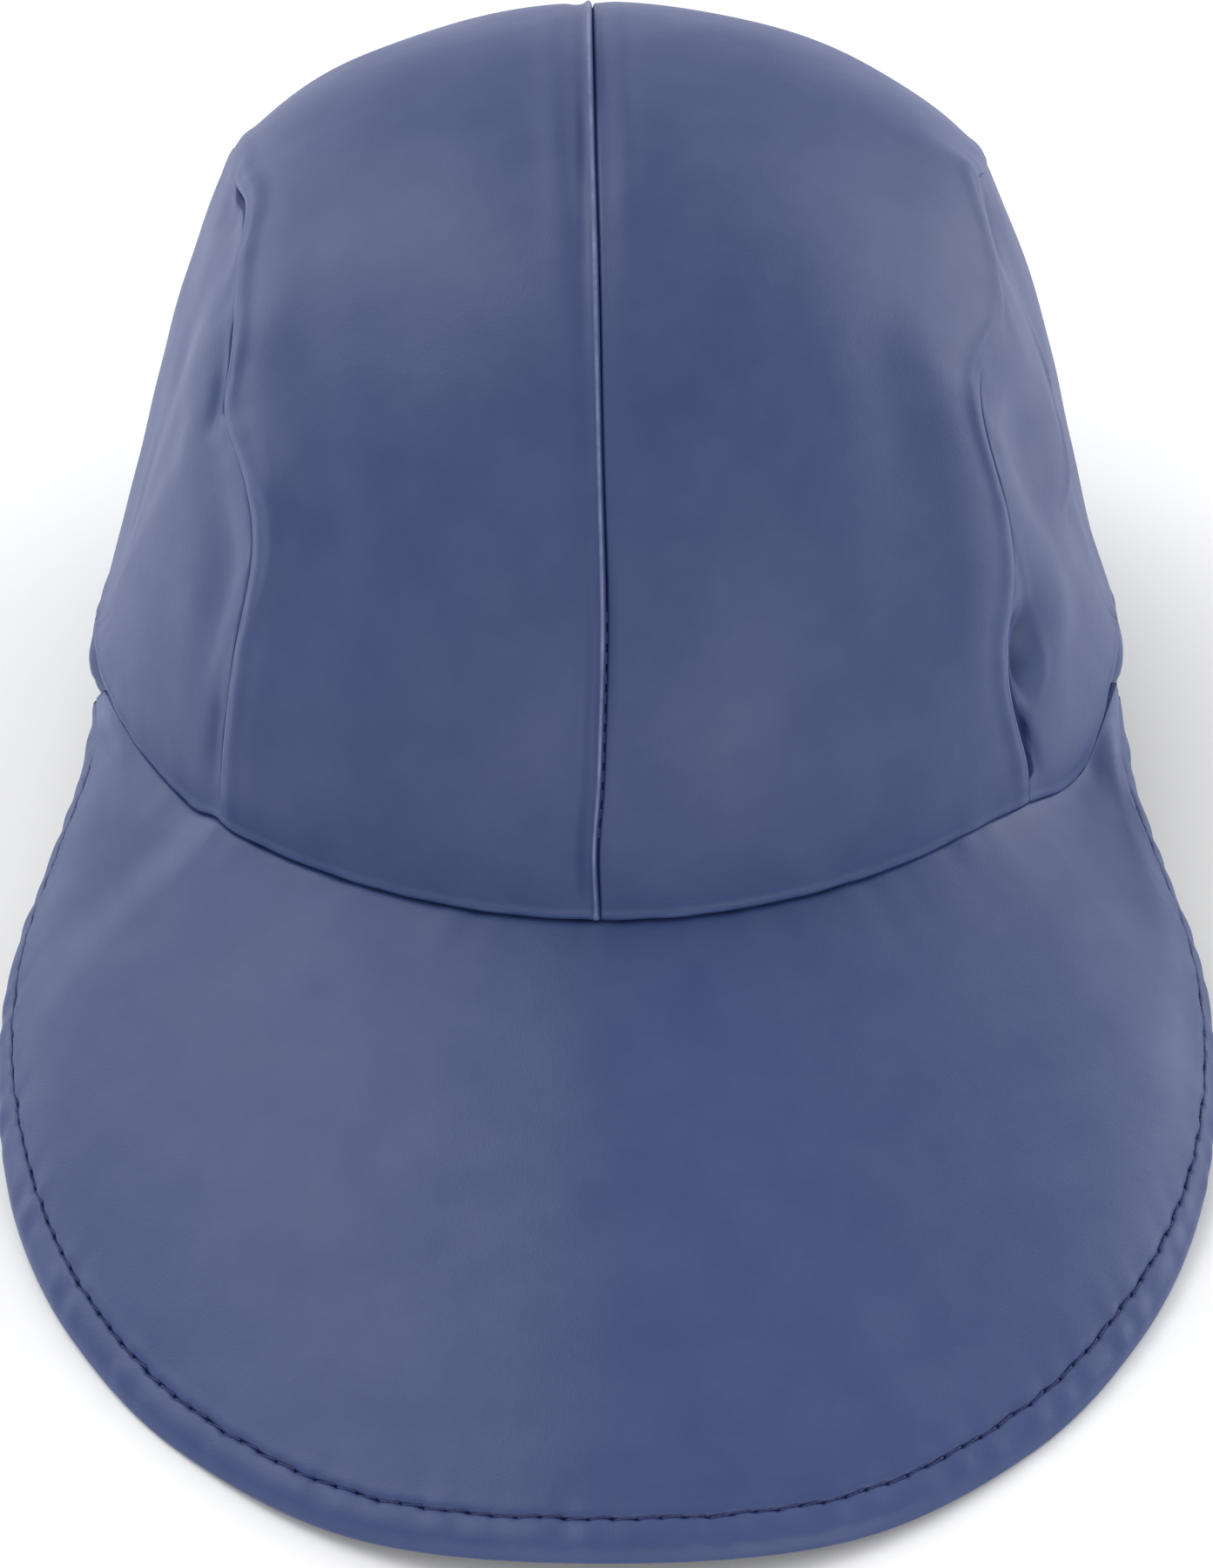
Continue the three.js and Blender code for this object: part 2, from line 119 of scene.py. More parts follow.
# Puckers along a seam: height (of a panel, as a share of the set one), wavelength and reach. A panel's
# start PUCKER_START mm from the seam, where both panels meet.
PANEL_PUCKERS = {"centre": (1.0, 8.5, 4.5), "side": (1.2, 9.5, 5.0)}
PUCKER_START = 1.2
FOOT_PUCKERS = (0.10, 11.0, 5.0)
BOARD_PUCKERS = (0.10, 8.0, 5.0)
HEM_PUCKERS = (0.14, 7.5, 3.0)

# Rolls and painted highlight lines beside the centre seam: height, distance and reach in mm. TOP_ROLLS
# show only over the front of the top.
CENTRE_ROLLS = {"right": ((0.42, 0.70, 0.50), (-0.30, 2.6, 1.4)), "left": ((-0.30, 0.0, 2.4),)}
CENTRE_PAINTED_LIGHT = {"right": ((0.9, 0.62, 0.30),), "left": ()}
TOP_ROLLS = {"right": ((0.70, 6.2, 2.6), (-0.16, 2.4, 1.5)), "left": ((0.62, 5.0, 2.2), (-0.12, 1.8, 1.2))}
TOP_START = (52, 84)
TOP_END = (112, 96)

# The centre seam's edge: length of its rolled part, what the top adds to it, and depth in mm
CENTRE_EDGE = {"right": (0.45, 0.0), "left": (0.60, 0.35)}
CENTRE_EDGE_DEPTH = 0.9

# The side seam's roll: distance and reach in mm; how much flatter it lies, at what angle and reach
SIDE_ROLL = (2.7, 1.9)
FLAT_ROLL = (0.7, 98, 12)

# The panels' foot in mm: where the relief sets in, its roll, its painted highlight line and its rolled
# edge
FOOT_START = (-4.0, 6.0)
FOOT_ROLL = ((0.20, 0.9, 0.6),)
FOOT_PAINTED_LIGHT = ((0.40, 0.7, 0.4),)
FOOT_EDGE = (0.35, 0.22)

# Places where a side seam gapes: first and last angle, length of tapered ends, depth in mm
OPENINGS = {
    "right": ((74, 89.5, 5, 0.45), (53.5, 67, 5, 1.1), (24, 52, 9, 0.14), (5, 20, 5, 0.40)),
    "left": ((33, 48, 8, 0.16), (3, 28.8, 4, 1.3)),
}
SEAM_GROOVE = 0.10
GAPING_GROOVE = 0.6
GAPE_SLOPE = 0.8

# Small folds: side, panel, height and half width in mm, how much painted highlight (to 1) or painted
# shade (to -1) they carry, points of (angle, across)
CREASES = (
    ("left", "side", 0.60, 1.2, 0.35, (
        (86, 1.26), (88.5, 1.37), (90, 1.43), (88, 1.48), (82, 1.50), (76, 1.505), (70, 1.51), (63, 1.525),
        (55, 1.52))),
    ("left", "side", -0.45, 1.5, -0.15, ((91, 1.03), (87, 1.07), (83, 1.07), (79, 1.03))),
    ("left", "side", 0.25, 1.2, 0.3, (
        (39, 1.04), (34, 1.085), (30.5, 1.15), (27, 1.195), (24, 1.20), (20.5, 1.165), (15, 1.07))),
    ("left", "side", -0.25, 1.6, -0.5, ((25, 1.0), (28, 1.005), (31.5, 1.03), (35.5, 1.06))),
    ("left", "side", 0.0, 2.4, -0.42, (
        (30, 1.04), (27.5, 1.11), (25, 1.12), (21, 1.07), (16, 1.04), (10, 1.03))),
    ("right", "centre", 0.30, 1.2, 0.3, ((48, 0.975), (43, 0.955), (38, 0.945), (32, 0.95), (25, 0.965))),
)
MM_PER_DEGREE = 1.6
MM_PER_ACROSS = 62.0

# Peak: place on the rim, place of the outer edge, and how far the cloth bulges between the two
PEAK = {
    "rim": (0.0, 0.22, 0.42, 0.62, 0.82, 1.02, 1.20, 1.37, 1.53, 1.68),
    "x": (0.0, 37.2, 65.0, 82.6, 93.0, 97.2, 96.7, 91.6, 87.0, 85.4),
    "y": (-193.0, -184.7, -164.4, -141.0, -116.5, -92.0, -71.0, -51.0, -33.0, -14.5),
    "z": (-51.9, -53.8, -52.5, -48.8, -44.6, -38.5, -30.0, -22.0, -15.0, -9.0),
    "arch": (1.5, 1.8, 2.5, 3.4, 4.4, 5.0, 4.2, 2.8, 1.2, 0.3),
}
ARCH_SHAPE = 27 / 4
PEAK_THICKNESS = 3.0
PEAK_END_THICKNESS = 1.6
PEAK_END_START = 0.72
PEAK_DROP = 0.3
PEAK_TAB = 2.4
PEAK_END_TAB = 0.8
TAB_THICKNESS_LOSS = 0.8
BOARD_GRID = (620, 56)
STATION_POWER = 1.15

# x in mm between which the crown's edge comes to hide its seam with the peak
HIDDEN_SEAM = (35.0, 60.0)

# Hem of the peak in mm: its width, how the thread draws that in and out, and one wider spot
HEM_WIDTH = 6.5
HEM_WANDER = 0.16
HEM_WIDE_SPOT = ((1.3, -0.48, 0.13),)
HEM_LINE_SCALE = 230.0
HEM_GAP = 0.05
HEM_PUFF = 0.5
HEM_WAVE = 0.16
HEM_PHASE = 1.1
HEM_ROUND_START = 0.62
HEM_GRID = (901, 13, 11)
GROOVE_REACH = 0.6
NEEDLE_DIP = 0.40
NEEDLE_REACH = 0.5

# Soft folds of the peak: height, half width in mm, points of (x, y) from the strong end on
PEAK_FOLDS = (
    (0.6, 1.8, ((85.0, -14), (84.2, -22), (83.4, -30), (82.5, -38), (83, -50))),
    (0.6, 1.8, ((-84.5, -14), (-83.5, -22), (-81.0, -31), (-79.0, -40), (-78.0, -52))),
)

# Turned edge round the foot of the crown; its thread lies at EDGE_THREAD of its drop
EDGE_DROP = 12.0
EDGE_THICKNESS = 2.2
EDGE_INSET = 3.1
EDGE_LIP = 0.8
EDGE_THREAD = 0.72
EDGE_GRID = (620, 22, 10)
NOTCH_FRONT = -14.0
NOTCH_BACK = -3.0

# Threads: rings of a stitch, corners of a ring; pitch and half length of the edge's stitches in mm
THREAD_RINGS = 7
THREAD_CORNERS = 6
EDGE_STITCH = (3.0, 1.3)

# Rest pose: tilt, and then the table's height and the middle's y. Camera of the photo, in the rim frame.
REST_TILT = math.radians(9.3)
TABLE = -26.9
MIDDLE = -49.34
CAMERA_PLACE = (0.0, -1004.4, 548.4)
CAMERA_AIM = (0.0, -8.4, -26.6)
CAMERA_LENS = 156.46
SENSOR_HEIGHT = 36.0

# Studio, in metres. Soft boxes: name, turn from the camera's side towards the wearer's left and rise in
# degrees, power in watts
STUDIO_LIGHTS = (
    ("high_right", -102, 60, 5.8),
    ("rear_left", 130, 35, 4.0),
    ("rear_right", -132, 50, 5.6),
    ("front_left", 34, 8, 7.6),
    ("front_right", -18, 6, 5.2),
    ("low_left", 116, 8, 9.0),
    ("low_right", -127, 8, 7.4),
)
LIGHT_SIZE = 1.0
LIGHT_DISTANCE = 1.7
LIGHT_AIM = (0.0, 0.0, 0.06)
AIR_STRENGTH = 0.67
FLOOR_HALF = 4.0

# Cloth: how much lighter than the coat's colour each slot is, as painted light that makes the peak and
# the turned edges lit copies of the coat; grain of the coat, pitch of the weave and of the thread's plies
# in metres. The real ones are about 0.2 mm: these are the finest that the render resolves. Points nearer
# than WELD are joined.
PAINTED_LIGHT_TINT = {"coated_cloth": 1.0, "peak_cloth": 1.08, "turned_edge": 1.1}
GRAIN = 0.00042
WEAVE_PITCH = 0.0008
PLY_PITCH = 0.0006
WELD = 2e-6


def linear(colour):
    """The linear red, green and blue of an sRGB hex colour."""
    channels = [int(colour[k:k + 2], 16) / 255 for k in (1, 3, 5)]
    return tuple(c / 12.92 if c <= 0.04045 else ((c + 0.055) / 1.055) ** 2.4 for c in channels)


def bell(distance, reach):
    """1 at distance 0, falling off as exp(-(distance / reach) squared)."""
    return np.exp(-(distance / reach) ** 2)


def bells(value, rows):
    """The sum of bells, one for each row of height, place and reach."""
    return sum(height * bell(value - place, reach) for height, place, reach in rows)


def smoothstep(value, low, high):
    """0 below low, 1 above high, and 3 t squared - 2 t cubed between them."""
    t = np.clip((value - low) / (high - low), 0.0, 1.0)
    return t * t * (3.0 - 2.0 * t)


def rolled_edge(distance, reach, depth):
    """A quarter of an ellipse down to -depth at distance 0, level from reach onwards."""
    t = np.clip(distance / reach, 0.0, 1.0)
    return -depth * (1.0 - np.sqrt(1.0 - (1.0 - t) ** 2))


def wander(place, wavelength, phase):
    """An uneven wave of height about 1: three sines whose wavelengths share no common multiple."""
    turn = 2.0 * np.pi * place / wavelength
    waves = np.sin(turn + phase) + 0.7 * np.sin(turn / 1.63 + 2.3 * phase + 1.0)
    return (waves + 0.5 * np.sin(turn * 1.37 + 4.1 * phase + 2.0)) / 1.6


def puckers(place, distance, shape, phase):
    """Puckers of a seam: a wandering wave along it that dies away with the distance from it."""
    height, wavelength, reach = shape
    return height * wander(place, wavelength, phase) * np.exp(-distance / reach)


def soft_waves(u, v, phase):
    """Low waves of resting cloth, 40 to 90 mm long: a sum of four slanted sines of u and v."""
    total = np.sin(u / 9.5 + v / 21.0 + phase) + 0.8 * np.sin(v / 8.1 - u / 17.0 + 2.1 * phase)
    total = total + 0.6 * np.sin(u / 6.7 - v / 12.3 + 3.7 * phase)
    return (total + 0.7 * np.sin(v / 13.9 + u / 26.0 + 5.3 * phase)) / 2.2


def column(values, place, mirrored=False):
    """A smooth curve through evenly spaced values: the Catmull-Rom cubic of the four nearest ones.

    Beyond the ends it goes on straight, or turns back on itself at the first value if mirrored.
    """
    rows = np.asarray(values, float)
    before = rows[1] if mirrored else 2 * rows[0] - rows[1]
    padded = np.concatenate([[before], rows, [2 * rows[-1] - rows[-2]]])
    place = np.clip(place, 0.0, len(rows) - 1.0)
    i = np.minimum(place.astype(int), len(rows) - 2)
    f = place - i
    a, b, c, d = (padded[i + k] for k in range(4))
    return b + 0.5 * f * (c - a + f * (2 * a - 5 * b + 4 * c - d + f * (3 * b - a - 3 * c + d)))


def spread(count, share):
    """Places from 0 to 1 that crowd towards both ends: a share of cosine spacing in even spacing."""
    even = np.linspace(0.0, 1.0, count)
    return (1 - share) * even + share * (0.5 - 0.5 * np.cos(np.pi * even))


def unit(vectors):
    """The vectors, each divided by its length."""
    return vectors / np.maximum(np.linalg.norm(vectors, axis=-1, keepdims=True), 1e-9)


def lengths(points, axis=0):
    """Distance run along one axis of a line or grid of points, from its first point."""
    steps = np.linalg.norm(np.diff(points, axis=axis), axis=-1)
    pad = [(0, 0)] * steps.ndim
    pad[axis] = (1, 0)
    return np.pad(np.cumsum(steps, axis=axis), pad)


def along_line(points, line):
    """Distance of each point to a line of points, and the nearest place on that line from 0 to 1."""
    line = np.array(line, float)
    nearest = np.full(points.shape[:-1], np.inf)
    place = np.zeros(nearest.shape)
    for k, run in enumerate(np.diff(line, axis=0)):
        share = np.clip(((points - line[k]) @ run) / (run @ run), 0.0, 1.0)
        distance = np.linalg.norm(points - line[k] - share[..., None] * run, axis=-1)
        place = np.where(distance < nearest, (k + share) / (len(line) - 1), place)
        nearest = np.minimum(nearest, distance)
    return nearest, place


def to_rest(points):
    """Points of the rim frame in mm, tipped back by REST_TILT into the row frame in metres."""
    cos = math.cos(REST_TILT)
    sin = math.sin(REST_TILT)
    x, y, z = np.moveaxis(points, -1, 0)
    return np.stack([x, y * cos + z * sin - MIDDLE, z * cos - y * sin - TABLE], -1) * MM


def mirror_of(side):
    """+1 for the wearer's left, which is +X, and -1 for the right."""
    return 1.0 if side == "left" else -1.0


def rim_sag(side, angle, across):
    """Degrees that the front rim sags: a smooth step up and down in across, a bell over the angle."""
    most, start, full = RIM_SAG[side]
    sag = most * smoothstep(across, start, full) * (1 - smoothstep(across, *RIM_SAG_END))
    return sag * bell(angle, RIM_SAG_REACH)


def crown_point(side, panel, angle, across):
    """The crown's outer surface in its section planes.

    The centre panel drops from the top as the square and the eighth power of across. The side panel is
    a cubic curve from the side seam to the rim's side point.
    """
    angle, across = np.broadcast_arrays(np.asarray(angle, float), np.asarray(across, float))
    at = {name: column(values, angle / SECTION_STEP) for name, values in CROWN.items()}
    mirror = mirror_of(side)
    lean = np.radians(at["lean"])
    drift = bells(angle, SEAM_DRIFT[side])
    centre = at["centre"] + bells(angle, SEAM_DRIFT["centre"])
    inner = (at["top"] - at["seam_radius"]) / at["seam_x"] * (2 + 6 * at["square"])
    seam_x = at["seam_x"] + drift
    seam_radius = at["seam_radius"] - drift * (inner + 1 / np.tan(lean)) / 2
    share = across + mirror * centre * (1 - across) / seam_x
    fall = (1 - at["square"]) * share ** 2 + at["square"] * share ** 8
    f = np.clip(across - 1, 0.0, 1.0)
    handle = SIDE_FULLNESS * np.hypot(HALF_WIDTH - seam_x, seam_radius)
    slope = SIDE_SLOPE * np.sin(np.radians(angle))
    end = handle / np.hypot(slope, 1)
    shares = np.stack([(1 - f) ** 3, 3 * (1 - f) ** 2 * f, 3 * (1 - f) * f ** 2])
    side_x = np.sum(shares * [seam_x, seam_x + handle * np.sin(lean), HALF_WIDTH - slope * end], 0)
    side_x = side_x + HALF_WIDTH * f ** 3
    side_radius = np.sum(shares * [seam_radius, seam_radius - handle * np.cos(lean), end], 0)
    x = np.where(across > 1, side_x, share * seam_x)
    radius = np.where(across > 1, side_radius, at["top"] - (at["top"] - seam_radius) * fall)
    height = np.zeros(angle.shape)
    relief = CROWN_RELIEF[side, "both"] + CROWN_RELIEF.get((side, panel), ())
    for place, place_across, rise, reach, reach_across in relief:
        height += rise * bell(angle - place, reach) * bell(across - place_across, reach_across)
    sideways = math.radians(RELIEF_TURN) * smoothstep(across, 1.0, RELIEF_TURN_END)
    x = x + height * np.sin(sideways)
    radius = radius + height * np.cos(sideways)
    turn = np.radians(angle - rim_sag(side, angle, across))
    return np.stack([mirror * x, -radius * np.cos(turn), radius * np.sin(turn)], -1)


def crown_normal(side, panel, angle, across):
    """Unit normal of the crown: the cross product of short steps across and along it.

    A side panel's steps stop short of the side point, where there is no such product.
    """
    low, high = (0.0, 1.0) if panel == "centre" else (1.0, 1.985)
    across = np.clip(across, low, high)
    step = crown_point(side, panel, angle, np.minimum(across + 0.004, high))
    step = step - crown_point(side, panel, angle, np.maximum(across - 0.004, low))
    ahead = crown_point(side, panel, np.minimum(angle + 0.4, 180.0), across)
    ahead = ahead - crown_point(side, panel, np.maximum(angle - 0.4, 0.0), across)
    return unit(np.cross(step, ahead)) * mirror_of(side)


def crease_height(side, panel, angle, across):
    """Height of the small folds and their painted light and shade: a bell over the distance in mm to each
    fold's line.

    A fold is full in the middle of its line and fades towards both ends as half a sine.
    """
    scale = np.array([MM_PER_DEGREE, MM_PER_ACROSS])
    here = np.stack(np.broadcast_arrays(angle, across), -1) * scale
    height = np.zeros(here.shape[:-1])
    crest = np.zeros(height.shape)
    for where, which, rise, width, painted_light, points in CREASES:
        if where == side and which == panel:
            distance, place = along_line(here, np.array(points) * scale)
            fold = np.sin(np.pi * (0.06 + 0.88 * place)) * bell(distance, width)
            height += rise * fold
            crest += painted_light * fold
    return height, crest


def opening(side, angle):
    """How far the side panel's edge sinks below the centre panel's: smooth steps down and up again."""
    depth = np.zeros(np.shape(angle))
    for first, last, taper, fall in OPENINGS[side]:
        depth += fall * smoothstep(angle, first, first + taper) * smoothstep(angle, last, last - taper)
    return depth


def crest_of(height, painted_light):
    """Crest value of painted light and shade: all of a dip's height, a quarter of a rise's, and the
    painted light given.
    """
    return np.clip(np.minimum(height, 0.0) + 0.25 * np.maximum(height, 0.0) + painted_light, -1.0, 1.0)


def panel_relief(side, panel, angle, across, base, sizes):
    """Fine height of a panel in mm and its crest value of painted light and shade, from its distances to
    its seams and its foot.

    The cloth rolls down into a seam, lies in a soft roll beside it and puckers where the thread draws
    it in. The centre seam's turnings lie to the right, so that side has a raised welt. Where the side
    seam gapes, its groove is deeper and carries painted shade. Dips carry painted shade, and rises, the
    welt and the foot's line painted highlights.
    """
    centre = panel == "centre"
    inner = lengths(base, 1)
    outer = inner[:, -1:] - inner
    front = lengths(base, 0)
    foot = np.minimum(front, front[-1:] - front)
    seam, along = (outer, front[:, -1:]) if centre else (inner, front[:, :1])
    phase = SIDE_PHASE[side]
    gape = opening(side, angle)
    wide = np.minimum(gape, 1.0)
    drawn = puckers(along, seam, PANEL_PUCKERS[panel], phase + PUCKER_PHASE[panel])
    height = sizes.wave_height / MM * soft_waves(front, inner, phase + WAVE_PHASE[panel])
    height += sizes.pucker_height / MM * drawn * (1 - bell(seam, PUCKER_START))
    height += rolled_edge(seam, SEAM_EDGE[panel], SEAM_GROOVE + GAPING_GROOVE * wide)
    if centre:
        high = smoothstep(angle, *TOP_START) * smoothstep(angle, *TOP_END)
        reach, top_reach = CENTRE_EDGE[side]
        height += bells(inner, CENTRE_ROLLS[side]) + high * bells(inner, TOP_ROLLS[side])
        height += rolled_edge(inner, reach + top_reach * high, CENTRE_EDGE_DEPTH)
        flatter, flat_angle, flat_reach = FLAT_ROLL
        roll = sizes.seam_roll / MM * (1 - flatter * bell(angle - flat_angle, flat_reach))
        height += bells(outer, ((roll, *SIDE_ROLL), (0.22 * wide, 0.75, 0.5)))
        # Painted highlights on the welt beside the centre seam and along the edge at the side seam, and
        # painted shade on that edge where the seam gapes
        painted_light = bells(inner, CENTRE_PAINTED_LIGHT[side])
        painted_light = painted_light + bells(outer, ((0.30 + 0.5 * wide, 0.65, 0.35), (-1.2 * wide, 0.0, 0.22)))
    else:
        height -= gape * np.exp(-inner / GAPE_SLOPE)
        # Painted shade on the side panel beside the seam where it gapes
        painted_light = -1.6 * np.minimum(1.6 * gape, 1.0) * bell(inner, 1.1 + 1.2 * wide)
    folds, fold_shading = crease_height(side, panel, angle, across)
    height = (height + folds) * smoothstep(foot, *FOOT_START)
    height += bells(foot, FOOT_ROLL) + rolled_edge(foot, *FOOT_EDGE)
    height += puckers(inner, foot, FOOT_PUCKERS, phase)
    return height, crest_of(height, painted_light + fold_shading + bells(foot, FOOT_PAINTED_LIGHT))


def peak_point(station, across):
    """The peak's upper surface: station runs along it from right (-1) to left (1).

    Across 0 is the rim and 1 the outer edge. The straight line between the two is lifted by the arch
    times 27/4 across squared (1 - across), square to that line.
    """
    station, across = np.broadcast_arrays(np.asarray(station, float), np.asarray(across, float))
    place = np.abs(station) * (len(PEAK["x"]) - 1)
    rim_across = column(PEAK["rim"], place)
    left = crown_point("left", "centre", 0.0, rim_across)
    right = crown_point("right", "centre", 0.0, rim_across)
    rim = np.where(station[..., None] < 0, right, left)
    rim[..., 2] -= PEAK_DROP
    x = np.where(station < 0, -1.0, 1.0) * column(PEAK["x"], place)
    edge = np.stack([x, column(PEAK["y"], place, True), column(PEAK["z"], place, True)], -1)
    run = edge - rim
    up = UP - run * (run[..., 2:] / np.sum(run * run, -1, keepdims=True))
    lift = ARCH_SHAPE * across ** 2 * (1 - across) * column(PEAK["arch"], place, True)
    return rim + run * across[..., None] + unit(up) * lift[..., None]


def peak_normal(station, across):
    """Unit normal of the peak's upper surface, found in the same way."""
    step = 0.004
    along = peak_point(np.minimum(station + step, 1.0), across)
    along = along - peak_point(np.maximum(station - step, -1.0), across)
    outwards = peak_point(station, across + step) - peak_point(station, across - step)
    return unit(np.cross(outwards, along))


def peak_width(station):
    """Straight distance from the rim to the outer edge at a station."""
    return np.linalg.norm(peak_point(station, 1.0) - peak_point(station, 0.0), axis=-1)


def peak_stations(count):
    """Stations from -1 to 1, a little closer together in the middle of the peak."""
    even = np.linspace(-1.0, 1.0, count)
    return np.sign(even) * np.abs(even) ** STATION_POWER


def hem_start(station):
    """Share of a station's width where the hem starts, which the thread draws in unevenly."""
    drawn = HEM_WANDER * wander(station * HEM_LINE_SCALE, 7.0, 1.7) + bells(station, HEM_WIDE_SPOT)
    return 1 - (HEM_WIDTH + drawn) / peak_width(station)


def hem_line(count=3000):
    """Stations along the hem's inner edge, the points there and the length run to each of them."""
    station = np.linspace(-1.0, 1.0, count)
    line = peak_point(station, hem_start(station))
    return station, line, lengths(line)


def needle_dips(station, distance, pitch):
    """Depth in mm of the dips where the needle pierces the hem: a bell round each hole."""
    stations, _, run = hem_line()
    even = run[-1] / round(run[-1] / pitch)
    off = (np.interp(station, stations, run) / even + 0.5) % 1.0 - 0.5
    return NEEDLE_DIP * bell(np.hypot(off * even, distance), NEEDLE_REACH)


def seen_hem(station):
    """1 where the topstitching shows, 0 at the peak's ends, where folds of the cloth cover it."""
    return 1 - np.where(station < 0, smoothstep(-station, 0.87, 0.91), smoothstep(station, 0.79, 0.87))


def slot_shade(station):
    """How dark the narrow slot between the crown's turned edge and the peak's ends is."""
    return 1.3 * smoothstep(np.abs(station), 0.991, 0.998)


def board_relief(base, station, run, rest, sizes):
    """Fine height of the board: it rolls into the crown's seam and the hem's stitches and puckers there.

    run and rest are the distances to the two. Towards the wearer's left the board rises against the
    crown's edge, which hides that seam.
    """
    along = lengths(base, 0)
    free = smoothstep(run + rest, 6.0, 30.0)
    height = sizes.wave_height / MM * 0.5 * soft_waves(along * 0.6, run * 0.6, 4.4)
    height *= smoothstep(run, -6.0, 14.0) * smoothstep(rest, 0.0, 10.0)
    hidden = smoothstep(base[..., 0], *HIDDEN_SEAM)
    height += (0.42 * hidden - 0.2) * np.exp(-run / (0.4 + 0.6 * hidden))
    height += free * puckers(along[:, :1], run, BOARD_PUCKERS, 2.2)
    height += free * puckers(along[:, -1:], rest, HEM_PUCKERS, HEM_PHASE)
    groove = 0.12 * bell(rest - 1.4, 0.8) + rolled_edge(rest, GROOVE_REACH, sizes.hem_groove / MM)
    groove -= needle_dips(station, rest, sizes.stitch_pitch / MM)
    return height + groove * seen_hem(station) + fold_height(base)


def fold_height(points):
    """Height of the peak's soft folds: full at one end of a fold's line, none at the other."""
    height = np.zeros(points.shape[:-1])
    for rise, width, line in PEAK_FOLDS:
        distance, place = along_line(points[..., :2], line)
        height += rise * np.cos(0.5 * np.pi * place) * bell(distance, width)
    return height


def peak_depth(station):
    """Thickness of the padded board, which thins towards both ends."""
    share = smoothstep(np.abs(station), PEAK_END_START, 1.0)
    return PEAK_THICKNESS + (PEAK_END_THICKNESS - PEAK_THICKNESS) * share


def rim_loop(count):
    """The rim once round, anticlockwise from the front, as points evenly spaced by length."""
    up = np.linspace(0.0, 2.0, 400)[:-1]
    quarters = (("left", 0.0, up), ("left", 180.0, 2 - up), ("right", 180.0, up), ("right", 0.0, 2 - up))
    parts = [crown_point(side, "centre", angle, across) for side, angle, across in quarters]
    closed = np.concatenate(parts + [parts[0][:1]])
    run = lengths(closed)
    places = np.linspace(0.0, run[-1], count + 1)[:-1]
    return np.stack([np.interp(places, run, closed[:, k]) for k in range(3)], -1), run[-1]


def loop_directions(loop):
    """Unit vectors ahead along a closed loop, and level and outwards from it."""
    ahead = unit(np.roll(loop, -1, 0) - np.roll(loop, 1, 0))
    return ahead, np.stack([ahead[:, 1], -ahead[:, 0], 0 * ahead[:, 0]], -1)


def edge_out(drop):
    """How far the turned edge stands out, as a cubic of its drop from 0 at the rim to 1 at its foot."""
    return 4.367 * drop - 4.123 * drop ** 2 - 1.444 * drop ** 3


def edge_section(loop, length):
    """The painted light and shade of each point of the turned edge, and the points of its closed sections.

    A section runs down the outside on edge_out(), round the foot on half an ellipse and up the inside,
    to a lip that closes the slit behind the panels' foot. Inside the peak it hangs straight down.
    """
    outwards = loop_directions(loop)[1]
    free = smoothstep(loop[:, 1], NOTCH_FRONT, NOTCH_BACK)[:, None]
    half = EDGE_THICKNESS / 2
    tall = EDGE_DROP - PEAK_DROP
    down = np.linspace(0.0, 1.0, EDGE_GRID[1])
    turn = np.radians(np.linspace(0.0, 180.0, EDGE_GRID[2]))[1:-1]
    drop = np.concatenate([down * (1 - half / tall), 1 - half / tall * (1 - np.sin(turn)),
                           down[::-1] * (1 - half / tall)])
    shift = np.concatenate([half + 0 * down, half * np.cos(turn), -half + 0 * down]) - half
    place = np.arange(len(loop)) * length / len(loop)
    fine = 0.14 * wander(place, 10.0, 3.3)[:, None] * np.sin(np.pi * drop)
    outside = shift > -half
    groove = -0.22 * bell((drop - EDGE_THREAD) * tall, 0.5) * outside
    top = rolled_edge(drop * tall, 0.7, 0.5) * outside
    out = edge_out(drop) * free + shift - EDGE_INSET * (1 - free)
    out = out + (fine + groove + top) * free
    points = loop[:, None, :] + outwards[:, None, :] * out[..., None]
    lip = EDGE_LIP * (shift < 0.01 - EDGE_THICKNESS) * bell(drop * tall, 0.4)
    points[..., 2] = -PEAK_DROP - drop * tall + lip * free
    # Crest of the turned edge: lighter along the fold at its foot, painted shade in the thread's groove
    # and on the rolled top
    painted_shading = 0.8 * bell((drop - 0.97) * tall, 1.3) + 3.0 * groove + 1.5 * top
    return painted_shading * outside * free, points


def grid_faces(rows, columns, wrap_rows=False, wrap_columns=False):
    """Quads of a grid of points, each with its corners in the order across, then along."""
    i = np.arange(rows if wrap_rows else rows - 1)[:, None]
    j = np.arange(columns if wrap_columns else columns - 1)[None, :]
    corners = [(i, j), (i, j + 1), (i + 1, j + 1), (i + 1, j)]
    faces = [(a % rows) * columns + (b % columns) + 0 * (i + j) for a, b in corners]
    return np.stack(faces, -1).reshape(-1, 4)


def shell_faces(rows, columns):
    """Faces of an outer grid, the same grid inside it turned over and a wall round both edges.

    The second array is 1 for the faces of the inner grid.
    """
    count = rows * columns
    outer = grid_faces(rows, columns)
    index = np.arange(count).reshape(rows, columns)
    border = np.concatenate([index[0, :-1], index[:-1, -1], index[-1, :0:-1], index[:0:-1, 0]])
    ahead = np.roll(border, -1)
    wall = np.stack([ahead, border, border + count, ahead + count], -1)
    faces = np.concatenate([outer, outer[:, ::-1] + count, wall])
    return faces, np.repeat([0, 1, 0], [len(outer), len(outer), len(wall)])


def fill(collection, name, values, kind=np.float32):
    """Sets one property of every element of a Blender collection."""
    collection.foreach_set(name, np.ascontiguousarray(values, dtype=kind).ravel())


